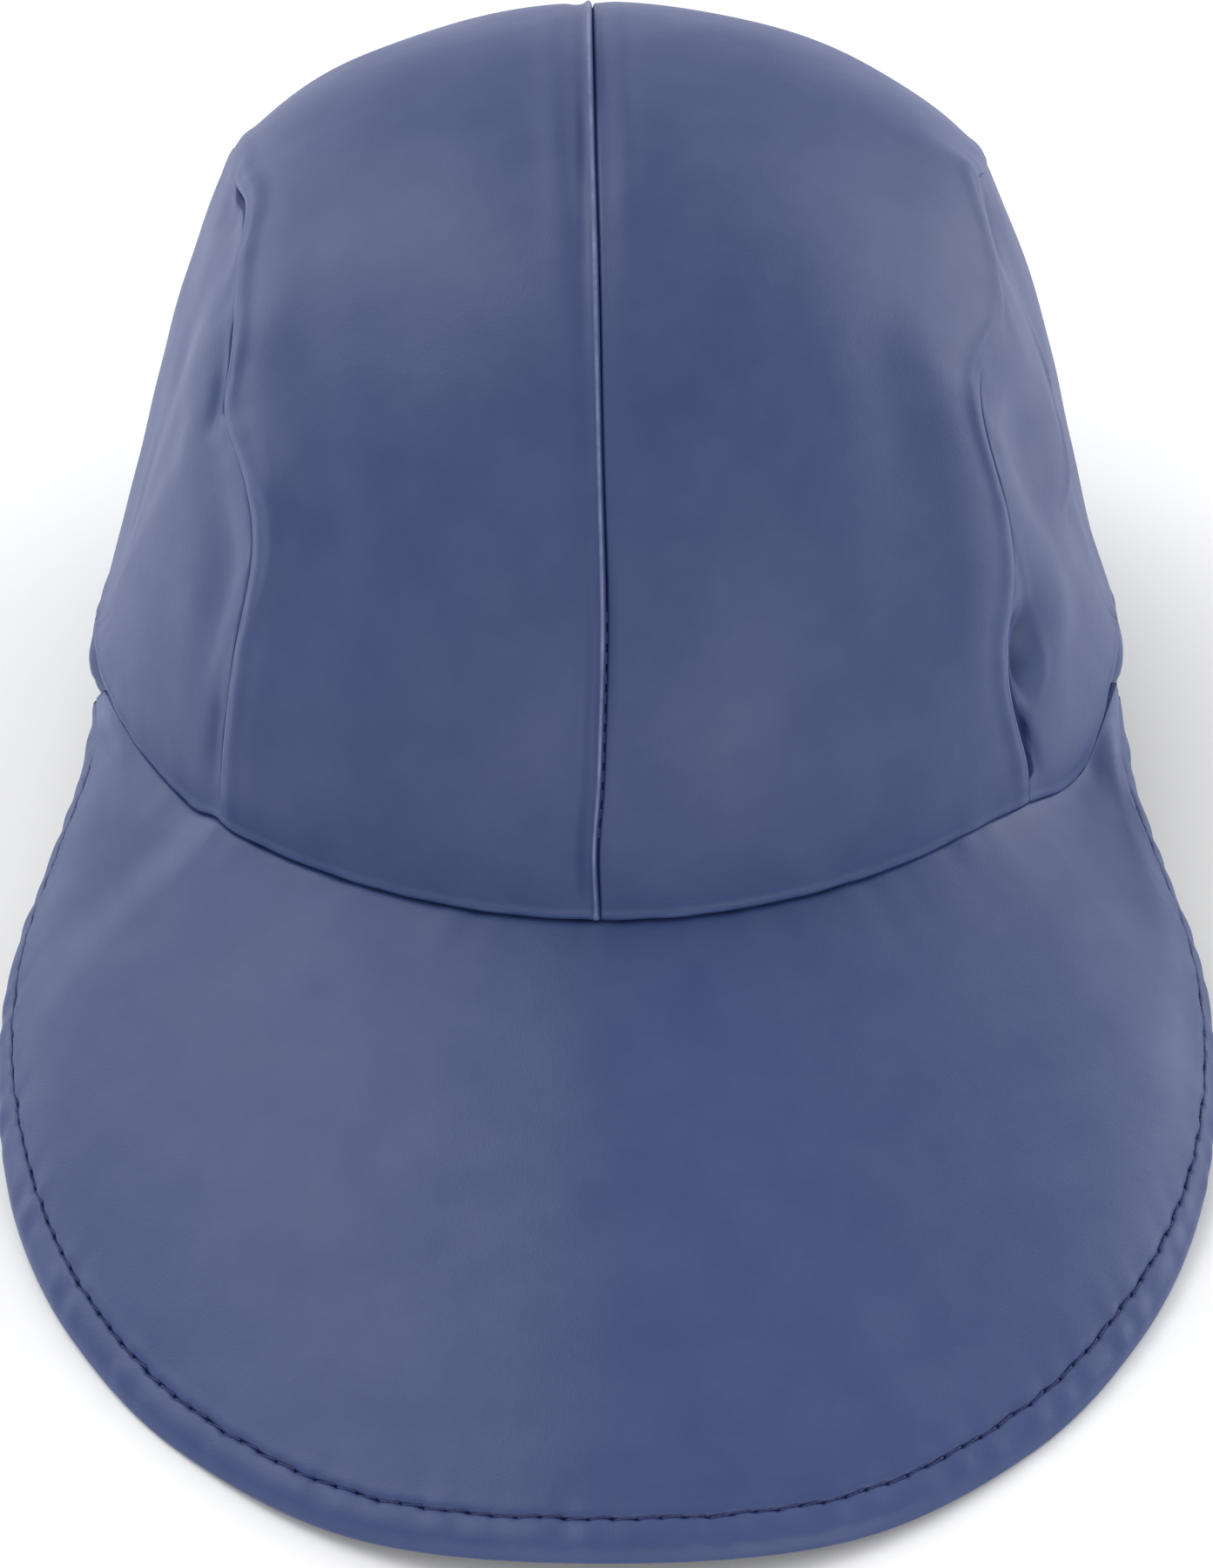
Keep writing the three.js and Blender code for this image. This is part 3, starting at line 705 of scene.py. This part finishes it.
def add_mesh(name, points, faces, uv=None, crest=None, backing=None, close=0.0):
    """A smooth mesh object from arrays of points in metres and of quads.

    uv is a point's place on the cloth in metres, crest how much painted shade (to -1) or painted
    highlight (to 1) it carries, and backing is 1 for faces of the second material. Points nearer than
    close are joined.
    """
    mesh = bpy.data.meshes.new(name)
    mesh.vertices.add(len(points))
    fill(mesh.vertices, "co", points)
    mesh.loops.add(faces.size)
    fill(mesh.loops, "vertex_index", faces, np.int32)
    mesh.polygons.add(len(faces))
    fill(mesh.polygons, "loop_start", np.arange(0, faces.size, faces.shape[1]), np.int32)
    if backing is not None:
        fill(mesh.polygons, "material_index", backing, np.int32)
    if uv is not None:
        fill(mesh.uv_layers.new(name="cloth").data, "uv", uv[faces.ravel()])
    if crest is not None:
        fill(mesh.attributes.new("crest", "FLOAT", "POINT").data, "value", crest)
    mesh.update(calc_edges=True)
    if close:
        work = bmesh.new()
        work.from_mesh(mesh)
        bmesh.ops.remove_doubles(work, verts=work.verts, dist=close)
        work.to_mesh(mesh)
        work.free()
    mesh.validate()
    mesh.shade_smooth()
    mesh.set_sharp_from_angle(angle=math.radians(50))
    piece = bpy.data.objects.new(name, mesh)
    bpy.context.scene.collection.objects.link(piece)
    return piece


def even_places(line, pitch):
    """Middles of stitches one pitch long, as positions between a line's points."""
    run = lengths(line)
    count = round(run[-1] / pitch)
    wanted = (np.arange(count) + 0.5) * run[-1] / count
    return np.interp(wanted, run, np.arange(len(line)))


# Materials


def add_node(tree, kind, settings=None, inputs=None):
    """Adds a node, sets its properties and gives each input a value or a link."""
    node = tree.nodes.new(kind)
    for name, value in (settings or {}).items():
        setattr(node, name, value)
    for name, value in (inputs or {}).items():
        if isinstance(value, bpy.types.NodeSocket):
            tree.links.new(value, node.inputs[name])
        else:
            node.inputs[name].default_value = value
    return node


def new_material(name):
    """An empty node material and its node tree."""
    material = bpy.data.materials.new(name)
    material.use_nodes = True
    material.node_tree.nodes.clear()
    return material, material.node_tree


def add_surface(tree, inputs):
    """Ends a node tree in a principled shader with these inputs."""
    shader = add_node(tree, "ShaderNodeBsdfPrincipled", None, inputs).outputs["BSDF"]
    add_node(tree, "ShaderNodeOutputMaterial", None, {"Surface": shader})


def object_place(tree):
    """A point's place in the piece, in metres."""
    return add_node(tree, "ShaderNodeTexCoord").outputs["Object"]


def shade(colour, factor):
    """A linear colour with four channels, made darker or lighter by a factor."""
    return tuple(channel * factor for channel in colour[:3]) + (1.0,)


def map_range(tree, value, low, high, to_low=0.0, to_high=1.0):
    """A value carried from one range to another, held at the ends."""
    node = add_node(tree, "ShaderNodeMapRange", None, {
        "Value": value, "From Min": low, "From Max": high, "To Min": to_low, "To Max": to_high})
    return node.outputs["Result"]


def mix_colour(tree, factor, first, second, blend="MIX"):
    """Two colours mixed by a factor; each may be a colour or a socket."""
    node = add_node(tree, "ShaderNodeMix", {"data_type": "RGBA", "blend_type": blend},
                    {0: factor, 6: first, 7: second})
    return node.outputs[2]


def noise(tree, coordinates, size, detail=3.0, roughness=0.5):
    """Noise whose blotches are about size metres across."""
    node = add_node(tree, "ShaderNodeTexNoise", None, {
        "Vector": coordinates, "Scale": 0.55 / size, "Detail": detail, "Roughness": roughness})
    return node.outputs["Fac"]


def bands(tree, place, direction, pitch, distortion, detail=2.0):
    """Soft bands one pitch apart, in metres, along a direction of the wave texture."""
    node = add_node(tree, "ShaderNodeTexWave", {"bands_direction": direction}, {
        "Vector": place, "Scale": 2 * math.pi / 20 / pitch, "Distortion": distortion, "Detail": detail})
    return node.outputs["Fac"]


def bump(tree, height, strength, distance, below=None):
    """A bumped normal, over another one if given; distance is the bump's depth in metres."""
    inputs = {"Strength": strength, "Distance": distance, "Height": height}
    if below is not None:
        inputs["Normal"] = below
    return add_node(tree, "ShaderNodeBump", None, inputs).outputs["Normal"]


def coated_cloth(name, look, painted_tint):
    """Polyester cloth with a smooth polyurethane coat, knife coated and baked.

    The coat gives a soft broad gloss with a fine leathery grain. Its colour is scaled by a factor, painted
    light that makes lighter copies for the peak and the turned edges. The crest attribute paints
    highlights in a lighter colour on the tops of folds and ridges, and paints shade into the seams and
    grooves with a dark colour and less specular reflection.
    """
    material, tree = new_material(name)
    place = object_place(tree)
    crest = add_node(tree, "ShaderNodeAttribute", {"attribute_name": "crest"}).outputs["Fac"]
    cloudy = map_range(tree, noise(tree, place, 0.030), 0.32, 0.68)
    colour = mix_colour(tree, cloudy, shade(look.coat_colour, 0.95 * painted_tint), shade(look.coat_colour, painted_tint))
    blotch = map_range(tree, noise(tree, place, 0.006, 4.0, 0.6), 0.35, 0.7, 0.0, 0.035)
    colour = mix_colour(tree, blotch, colour, look.highlight_and_blotch_colour)
    highlight_patches = map_range(tree, noise(tree, place, 0.0035, 5.0, 0.65), 0.38, 0.62, 0.4, 1.0)
    # Painted highlight: the coat turns towards the highlight colour where crest is above 0.25, in patches
    painted_shading = map_range(tree, crest, 0.25, 1.0, 0.0, 0.50)
    painted_shading = add_node(tree, "ShaderNodeMath", {"operation": "MULTIPLY"}, {0: painted_shading, 1: highlight_patches}).outputs[0]
    colour = mix_colour(tree, painted_shading, colour, look.highlight_and_blotch_colour)
    # Painted shade: the coat turns to the seam colour where crest is below -0.35
    groove = map_range(tree, crest, -0.95, -0.35, 1.0, 0.0)
    colour = mix_colour(tree, groove, colour, look.painted_shade_colour)
    rough = map_range(tree, noise(tree, place, 0.008), 0.3, 0.7, look.gloss - 0.03, look.gloss + 0.04)
    # Painted shade: the specular level drops in the grooves
    gloss = map_range(tree, crest, -0.85, -0.3, 0.04, 0.5)
    grain = add_node(tree, "ShaderNodeTexVoronoi", None, {"Vector": place, "Scale": 1 / GRAIN})
    normal = bump(tree, grain.outputs["Distance"], 0.35, 0.00006)
    normal = bump(tree, noise(tree, place, 0.0022, 4.0, 0.62), 0.4, 0.00008, normal)
    normal = bump(tree, noise(tree, place, 0.016, 2.0, 0.5), 0.3, 0.0005, normal)
    add_surface(tree, {
        "Base Color": colour, "Roughness": rough, "IOR": 1.47, "Normal": normal,
        "Sheen Weight": 0.18, "Sheen Roughness": 0.45, "Sheen Tint": linear("#8294E0") + (1.0,),
        "Coat Weight": 0.03, "Coat Roughness": 0.38, "Specular IOR Level": gloss})
    return material


def woven_backing(name, look):
    """Plain woven polyester, uncoated inside: a dull checker of warp and weft threads."""
    material, tree = new_material(name)
    place = add_node(tree, "ShaderNodeUVMap", {"uv_map": "cloth"}).outputs["UV"]
    warp = bands(tree, place, "X", WEAVE_PITCH, 0.4, 1.0)
    weft = bands(tree, place, "Y", WEAVE_PITCH, 0.4, 1.0)
    weave = add_node(tree, "ShaderNodeMath", {"operation": "MULTIPLY"}, {0: warp, 1: weft}).outputs[0]
    dark = shade(look.backing_colour, 0.45)
    colour = mix_colour(tree, weave, dark, look.backing_colour)
    cloudy = map_range(tree, noise(tree, place, 0.020), 0.3, 0.7, 0.0, 0.3)
    add_surface(tree, {
        "Base Color": mix_colour(tree, cloudy, colour, dark), "Roughness": 0.85, "IOR": 1.45,
        "Sheen Weight": 0.25, "Normal": bump(tree, weave, 0.6, 0.0002)})
    return material


def spun_thread(name, look):
    """Twisted polyester sewing thread: slanting plies and a soft sheen."""
    material, tree = new_material(name)
    plies = bands(tree, object_place(tree), "DIAGONAL", PLY_PITCH, 1.0)
    colour = mix_colour(tree, plies, shade(look.thread_colour, 0.55), look.thread_colour)
    add_surface(tree, {
        "Base Color": colour, "Roughness": 0.62, "Sheen Weight": 0.08,
        "Normal": bump(tree, plies, 0.5, 0.0001)})
    return material


def matt_floor(name, look):
    """Matt painted board: nearly white, with the faint mottle of a rolled coat."""
    material, tree = new_material(name)
    mottle = map_range(tree, noise(tree, object_place(tree), 0.25), 0.3, 0.7)
    colour = mix_colour(tree, mottle, shade(look.floor_colour, 0.97), look.floor_colour)
    add_surface(tree, {"Base Color": colour, "Roughness": 0.9})
    return material


def shared_material(name, make, *details):
    """The material of that name, made on first use."""
    return bpy.data.materials.get(name) or make(name, *details)


def finish_cloth(piece, node, slot):
    """Gives a cloth piece its coat and its backing, hangs it from the root body and hides the node's part
    that it stands in for.
    """
    look = bpy.context.scene.raincap_look
    # Each slot's coat is the coat made lighter by a factor: painted light for the peak and the turned
    # edges
    coat = shared_material(f"coated_cloth_{slot}", coated_cloth, look, PAINTED_LIGHT_TINT[slot])
    piece.data.materials.append(coat)
    piece.data.materials.append(shared_material("woven_backing", woven_backing, look))
    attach(piece, "root")
    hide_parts(node)


def add_shell(node, slot, outer, inner, crest, turned=False, close=0.0):
    """A sheet of cloth for a node, with its coated face outside and its woven backing inside."""
    faces, backing = shell_faces(*outer.shape[:2])
    if turned:
        faces = faces[:, ::-1]
    uv = np.stack([lengths(outer, 0), lengths(outer, 1)], -1).reshape(-1, 2) * MM
    points = to_rest(np.concatenate([outer.reshape(-1, 3), inner.reshape(-1, 3)]))
    crest = np.tile(crest.ravel(), 2)
    finish_cloth(add_mesh(f"{node}_cloth", points, faces, np.tile(uv, (2, 1)), crest, backing, close),
                 node, slot)


def add_stitches(name, places, along, up, half_length, sink):
    """Stitches as little tubes that swell and dive at both ends, where the thread enters the cloth.

    A ring's radius is the thread's times (1 + 1.3 place ** 4), drawn in at the two ends, and its height
    falls by sink times place ** 4.
    """
    scene = bpy.context.scene
    ring = np.linspace(-1.0, 1.0, THREAD_RINGS)
    turn = np.linspace(0.0, 2.0 * np.pi, THREAD_CORNERS + 1)[:-1]
    aside = unit(np.cross(up, along))
    up = unit(np.cross(along, aside))
    swell = scene.raincap_sizes.thread / MM * (1.0 + 1.3 * ring ** 4)
    swell[[0, -1]] *= 0.55
    centre = places[:, None] + along[:, None] * (half_length * ring)[None, :, None]
    centre = centre - up[:, None] * (sink * ring ** 4)[None, :, None]
    spoke = aside[:, None, None] * np.cos(turn)[None, None, :, None]
    spoke = spoke + up[:, None, None] * np.sin(turn)[None, None, :, None]
    points = centre[:, :, None] + spoke * swell[None, :, None, None]
    caps = np.array([[0, 1, 2, 3], [3, 4, 5, 0], [3, 2, 1, 0], [0, 5, 4, 3]])
    caps[2:] += (THREAD_RINGS - 1) * THREAD_CORNERS
    one = np.concatenate([grid_faces(THREAD_RINGS, THREAD_CORNERS, wrap_columns=True)[:, ::-1], caps])
    first = THREAD_RINGS * THREAD_CORNERS * np.arange(len(places))
    faces = (one[None] + first[:, None, None]).reshape(-1, 4)
    piece = add_mesh(name, to_rest(points.reshape(-1, 3)), faces)
    piece.data.materials.append(shared_material("spun_thread", spun_thread, scene.raincap_look))
    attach(piece, "root")


def size_property(name, description, default):
    """A length in metres of a PropertyGroup, from a third to three times its default."""
    return FloatProperty(name=name, description=description, default=default, min=default / 3,
                         max=default * 3, unit="LENGTH", precision=5)


def colour_property(name, description, colour):
    """A colour of a PropertyGroup, set to an sRGB hex colour."""
    return FloatVectorProperty(name=name, description=description, subtype="COLOR", size=4,
                               min=0.0, max=1.0, default=linear(colour) + (1.0,))


class RainCapSizes(bpy.types.PropertyGroup):
    """Sizes of the sewn cloth."""
    cloth: size_property("Cloth", "Thickness of the coated cloth with its turnings", 0.0012)
    seam_roll: size_property("Seam roll", "Height of the soft roll beside a side seam", 0.0006)
    pucker_height: size_property("Puckers", "Height of the puckers along a seam", 0.00013)
    wave_height: size_property("Waves", "Height of the cloth's soft waves", 0.00025)
    hem_groove: size_property("Hem groove", "Depth of the topstitched groove", 0.00025)
    stitch_pitch: size_property("Stitch", "Distance between the hem's needle holes", 0.0036)
    thread: size_property("Thread", "Radius of the sewing thread", 0.00017)


class RainCapLook(bpy.types.PropertyGroup):
    """Colours and gloss of the cap and the floor."""
    coat_colour: colour_property("Coat", "Colour of the coated face", "#2B3B69")
    # Colour of the painted highlights on folds and ridges, and of faint random blotches
    highlight_and_blotch_colour: colour_property("Worn coat", "Colour of the coat on worn folds", "#98A2C8")
    # Colour of the painted shade in the seams and grooves
    painted_shade_colour: colour_property("Seam", "Colour down in the seams", "#1A2250")
    backing_colour: colour_property("Backing", "Colour of the woven backing", "#4B5478")
    thread_colour: colour_property("Thread", "Colour of the sewing thread", "#1A2460")
    floor_colour: colour_property("Floor", "Colour of the floor", "#FAFAFB")
    gloss: FloatProperty(name="Roughness", description="Mean roughness of the coated face",
                         default=0.47, min=0.2, max=0.9, subtype="FACTOR")


def build_panel(side, panel, sizes):
    """One panel: a coated face over its relief and a backing one thickness of cloth below."""
    centre = panel == "centre"
    rows, columns = PANEL_GRID[panel]
    places = spread(columns, COLUMN_CROWDING) + (0.0 if centre else 1.0)
    angle, across = np.meshgrid(180.0 * spread(rows, ROW_CROWDING), places, indexing="ij")
    base = crown_point(side, panel, angle, across)
    normal = crown_normal(side, panel, angle, across)
    if not centre:
        normal[:, -1] = unit(np.array([mirror_of(side), 0.0, SIDE_SLOPE]))
    height, crest = panel_relief(side, panel, angle, across, base, sizes)
    outer = base + normal * height[..., None]
    # A centre panel's turning reaches down to the side panel, so the pockets stay closed
    under = crown_point(side, "side", angle, across) if centre else base
    depth = np.minimum(height, 0.0) * 0.5 - sizes.cloth / MM
    depth = depth - opening(side, angle) * centre
    inner = under + normal * depth[..., None]
    node = f"crown_panel_{side}" if centre else f"side_panel_{side}"
    add_shell(node, "coated_cloth", outer, inner, crest, side == "right", 0.0 if centre else WELD)


class RAINCAP_OT_panels(bpy.types.Operator):
    """Build the four sewn panels of the crown"""
    bl_idname = "raincap.panels"
    bl_label = "Crown panels"

    def execute(self, context):
        for side in ("left", "right"):
            for panel in ("centre", "side"):
                build_panel(side, panel, context.scene.raincap_sizes)
        return {"FINISHED"}


def build_board(sizes):
    """The padded board from its tab under the crown to the topstitched groove."""
    rows, columns = BOARD_GRID
    station = peak_stations(rows)
    stop = hem_start(station) - HEM_GAP / peak_width(station)
    across = spread(columns, COLUMN_CROWDING)[None, :] * stop[:, None]
    station = np.broadcast_to(station[:, None], across.shape)
    far = np.abs(station)
    base = peak_point(station, across)
    normal = peak_normal(station, across)
    run = lengths(base, 1)
    rest = run[:, -1:] - run
    height = board_relief(base, station, run, rest, sizes)
    depth = peak_depth(station)
    outer = base + normal * height[..., None]
    inner = base - normal * (depth + 0.1 * np.minimum(height, 0))[..., None]
    inner[:, 0] = base[:, 0] - unit(normal[:, 0] + UP) * depth[:, :1]
    tab = PEAK_TAB + (PEAK_END_TAB - PEAK_TAB) * smoothstep(far[:, :1], PEAK_END_START, 1.0)
    inwards = -unit(base[:, 0] * (1 - UP)) * tab
    outer = np.concatenate([(outer[:, 0] + inwards)[:, None], outer], 1)
    foot = outer[:, 0] - UP * (depth[:, :1] - TAB_THICKNESS_LOSS)
    inner = np.concatenate([foot[:, None], inner], 1)
    # Painted shade in the hem's groove, stronger towards the sides, and in the slot at the ends; painted
    # highlight on the soft folds
    groove = bell(rest, 0.3 + 0.4 * smoothstep(far, 0.5, 0.85))
    groove_shade = 0.35 + 0.35 * smoothstep(far, 0.45, 0.8)
    shaded = groove_shade * seen_hem(station) * groove + slot_shade(station)
    crest = crest_of(height, 0.8 * fold_height(base) - shaded)
    # Painted shade on the tab under the crown's edge, lighter where that edge hides the seam
    tab_crest = 0.5 * smoothstep(base[:, :1, 0], *HIDDEN_SEAM) - 1.0
    crest = np.concatenate([tab_crest, crest], 1)
    add_shell("peak", "peak_cloth", outer, inner, crest)


def build_hem(sizes):
    """The turned hem: from the groove over a rounded edge and back underneath."""
    rows, flat, rounded = HEM_GRID
    station = peak_stations(rows)
    start = hem_start(station)[:, None]
    turn = np.radians(np.linspace(0.0, 90.0, rounded))
    step = HEM_ROUND_START * np.linspace(0.0, 1.0, flat)[:-1] ** 1.2
    step = np.concatenate([step, HEM_ROUND_START + (1 - HEM_ROUND_START) * np.sin(turn)])
    across = start + (1 - start) * step
    station = np.broadcast_to(station[:, None], across.shape)
    base = peak_point(station, across)
    normal = peak_normal(station, across)
    distance = lengths(base, 1)
    half = peak_depth(station) / 2
    fall = np.clip((step - HEM_ROUND_START) / (1 - HEM_ROUND_START), 0.0, 1.0)
    bulge = np.sqrt(1 - fall ** 2)
    rise = HEM_PUFF * np.sin(np.pi * np.minimum(step / 0.9, 1.0))
    dips = needle_dips(station, distance, sizes.stitch_pitch / MM)
    fine = (rolled_edge(distance, GROOVE_REACH, sizes.hem_groove / MM) - dips) * seen_hem(station)
    wave = wander(lengths(base, 0)[:, :1], HEM_PUCKERS[1], HEM_PHASE)
    fine = fine + HEM_WAVE * wave * np.sin(np.pi * np.clip(step, 0, 1))
    upper = (half + rise) * bulge - half + fine * bulge
    lower = -(half + 0.6 * rise) * bulge - half
    outer = base + normal * upper[..., None]
    inner = base + normal * lower[..., None]
    # Painted shade in the groove and the needle holes, and a painted highlight along the rounded edge away
    # from the front
    crest = (rolled_edge(distance, 0.5, 0.5) - 2.75 * dips) * seen_hem(station)
    painted_shading = 0.5 * smoothstep(np.abs(station), 0.35, 0.65) * bell(step - 0.93, 0.10)
    crest = np.clip(crest + painted_shading - slot_shade(station), -1, 1)
    add_shell("peak_hem", "turned_edge", outer, inner, crest, False, WELD)


class RAINCAP_OT_peak(bpy.types.Operator):
    """Build the peak's board of cloth and the turned hem round it"""
    bl_idname = "raincap.peak"
    bl_label = "Peak and hem"

    def execute(self, context):
        sizes = context.scene.raincap_sizes
        build_board(sizes)
        build_hem(sizes)
        return {"FINISHED"}


class RAINCAP_OT_edge(bpy.types.Operator):
    """Build the turned edge round the foot of the crown"""
    bl_idname = "raincap.edge"
    bl_label = "Turned edge"

    def execute(self, context):
        loop, length = rim_loop(EDGE_GRID[0])
        painted_shading, section = edge_section(loop, length)
        rows, columns = section.shape[:2]
        run = np.arange(rows) * length / rows
        uv = np.stack(np.meshgrid(run, np.arange(columns), indexing="ij"), -1) * MM
        points = to_rest(section.reshape(-1, 3))
        points[:, 2] = np.maximum(points[:, 2], 0.0)
        faces = grid_faces(rows, columns, True, True)
        piece = add_mesh("crown_hem_cloth", points, faces, uv.reshape(-1, 2), painted_shading.ravel())
        finish_cloth(piece, "crown_hem", "turned_edge")
        return {"FINISHED"}


def sew_hem(sizes):
    """The peak's topstitching: slanting stitches, half sunk in their groove."""
    pitch = sizes.stitch_pitch / MM
    stations, line, _ = hem_line()
    station = np.interp(even_places(line, pitch), np.arange(len(line)), stations)
    station = station[seen_hem(station) > 0.3]
    start = hem_start(station)
    up = peak_normal(station, start)
    ahead = unit(peak_point(station + 0.001, start) - peak_point(station - 0.001, start))
    slant = 0.13 + 0.07 * wander(np.arange(len(station)), 3.3, 0.9)
    ahead = unit(ahead + slant[:, None] * np.cross(up, ahead))
    places = peak_point(station, start) + up * (0.06 - 0.5 * sizes.hem_groove / MM)
    add_stitches("hem_stitches", places, ahead, up, 0.42 * pitch, 0.2)


def sew_edge():
    """The stitches round the turned edge, from notch to notch."""
    pitch, half_length = EDGE_STITCH
    loop = rim_loop(2400)[0]
    ahead, outwards = loop_directions(loop)
    line = loop + outwards * (edge_out(EDGE_THREAD) + 0.06)
    line[:, 2] = -PEAK_DROP - EDGE_THREAD * (EDGE_DROP - PEAK_DROP)
    k = even_places(line, pitch).astype(int)
    k = k[line[k, 1] > NOTCH_BACK + 2.0]
    add_stitches("edge_stitches", line[k], ahead[k], outwards[k], half_length, 0.12)


def sew_seam():
    """The few stitches that show in the centre seam, near the peak."""
    angle = np.linspace(9.0, 29.0, 12)
    places = crown_point("left", "centre", angle, 0.0)
    ahead = unit(crown_point("left", "centre", angle + 0.3, 0.0) - places)
    up = crown_normal("left", "centre", angle, np.full(angle.shape, 0.01))
    add_stitches("seam_stitches", places - 0.62 * up, ahead, up, 0.9, 0.15)


class RAINCAP_OT_stitches(bpy.types.Operator):
    """Sew the hem, the turned edge and the foot of the centre seam"""
    bl_idname = "raincap.stitches"
    bl_label = "Stitches"

    def execute(self, context):
        sew_hem(context.scene.raincap_sizes)
        sew_edge()
        sew_seam()
        return {"FINISHED"}


def add_soft_box(scene, name, turn, rise, power):
    """A square light that looks at LIGHT_AIM from LIGHT_DISTANCE away."""
    level = math.cos(rise)
    away = Vector((math.sin(turn) * level, -math.cos(turn) * level, math.sin(rise)))
    light = bpy.data.lights.new(f"softbox_{name}", "AREA")
    light.shape = "SQUARE"
    light.size = LIGHT_SIZE
    light.energy = power
    lamp = bpy.data.objects.new(light.name, light)
    lamp.location = Vector(LIGHT_AIM) + LIGHT_DISTANCE * away
    lamp.rotation_euler = away.to_track_quat("Z", "Y").to_euler()
    scene.collection.objects.link(lamp)


class RAINCAP_OT_studio(bpy.types.Operator):
    """Set up the floor, the soft lights and the camera"""
    bl_idname = "raincap.studio"
    bl_label = "Studio"

    def execute(self, context):
        scene = context.scene
        corners = FLOOR_HALF * np.array([[-1, -1, 0], [1, -1, 0], [1, 1, 0], [-1, 1, 0]])
        floor = add_mesh("studio_floor", corners, np.array([[0, 1, 2, 3]]))
        floor.data.materials.append(shared_material("matt_floor", matt_floor, scene.raincap_look))
        for name, turn, rise, power in STUDIO_LIGHTS:
            add_soft_box(scene, name, math.radians(turn), math.radians(rise), power)
        world = bpy.data.worlds.new("studio_air")
        world.use_nodes = True
        background = world.node_tree.nodes["Background"]
        background.inputs["Color"].default_value = linear("#FFFFFF") + (1.0,)
        background.inputs["Strength"].default_value = AIR_STRENGTH
        scene.world = world
        lens = bpy.data.cameras.new("photo_camera")
        lens.sensor_fit = "VERTICAL"
        lens.sensor_height = SENSOR_HEIGHT
        lens.lens = CAMERA_LENS
        camera = bpy.data.objects.new("photo_camera", lens)
        camera.location = to_rest(np.array(CAMERA_PLACE))
        aim = Vector(to_rest(np.array(CAMERA_AIM)))
        camera.rotation_euler = (aim - camera.location).to_track_quat("-Z", "Y").to_euler()
        scene.collection.objects.link(camera)
        scene.camera = camera
        scene.view_settings.view_transform = "Standard"
        return {"FINISHED"}


class RAINCAP_PT_panel(bpy.types.Panel):
    """The cap's steps and sizes in the 3D view's sidebar"""
    bl_idname = "RAINCAP_PT_panel"
    bl_label = "Rain cap"
    bl_space_type = "VIEW_3D"
    bl_region_type = "UI"
    bl_category = "Rain cap"

    def draw(self, context):
        layout = self.layout
        for step in STEPS:
            layout.operator(step.bl_idname)
        for group in (context.scene.raincap_sizes, context.scene.raincap_look):
            for name in group.__annotations__:
                layout.prop(group, name)


STEPS = (RAINCAP_OT_panels, RAINCAP_OT_peak, RAINCAP_OT_edge, RAINCAP_OT_stitches, RAINCAP_OT_studio)
CLASSES = (RainCapSizes, RainCapLook) + STEPS + (RAINCAP_PT_panel,)


def register():
    for each in CLASSES:
        bpy.utils.register_class(each)
    bpy.types.Scene.raincap_sizes = PointerProperty(type=RainCapSizes)
    bpy.types.Scene.raincap_look = PointerProperty(type=RainCapLook)


def unregister():
    del bpy.types.Scene.raincap_look
    del bpy.types.Scene.raincap_sizes
    for each in reversed(CLASSES):
        bpy.utils.unregister_class(each)


def main():
    register()
    bpy.ops.raincap.panels()
    bpy.ops.raincap.peak()
    bpy.ops.raincap.edge()
    bpy.ops.raincap.stitches()
    bpy.ops.raincap.studio()


if __name__ == "__main__":
    main()
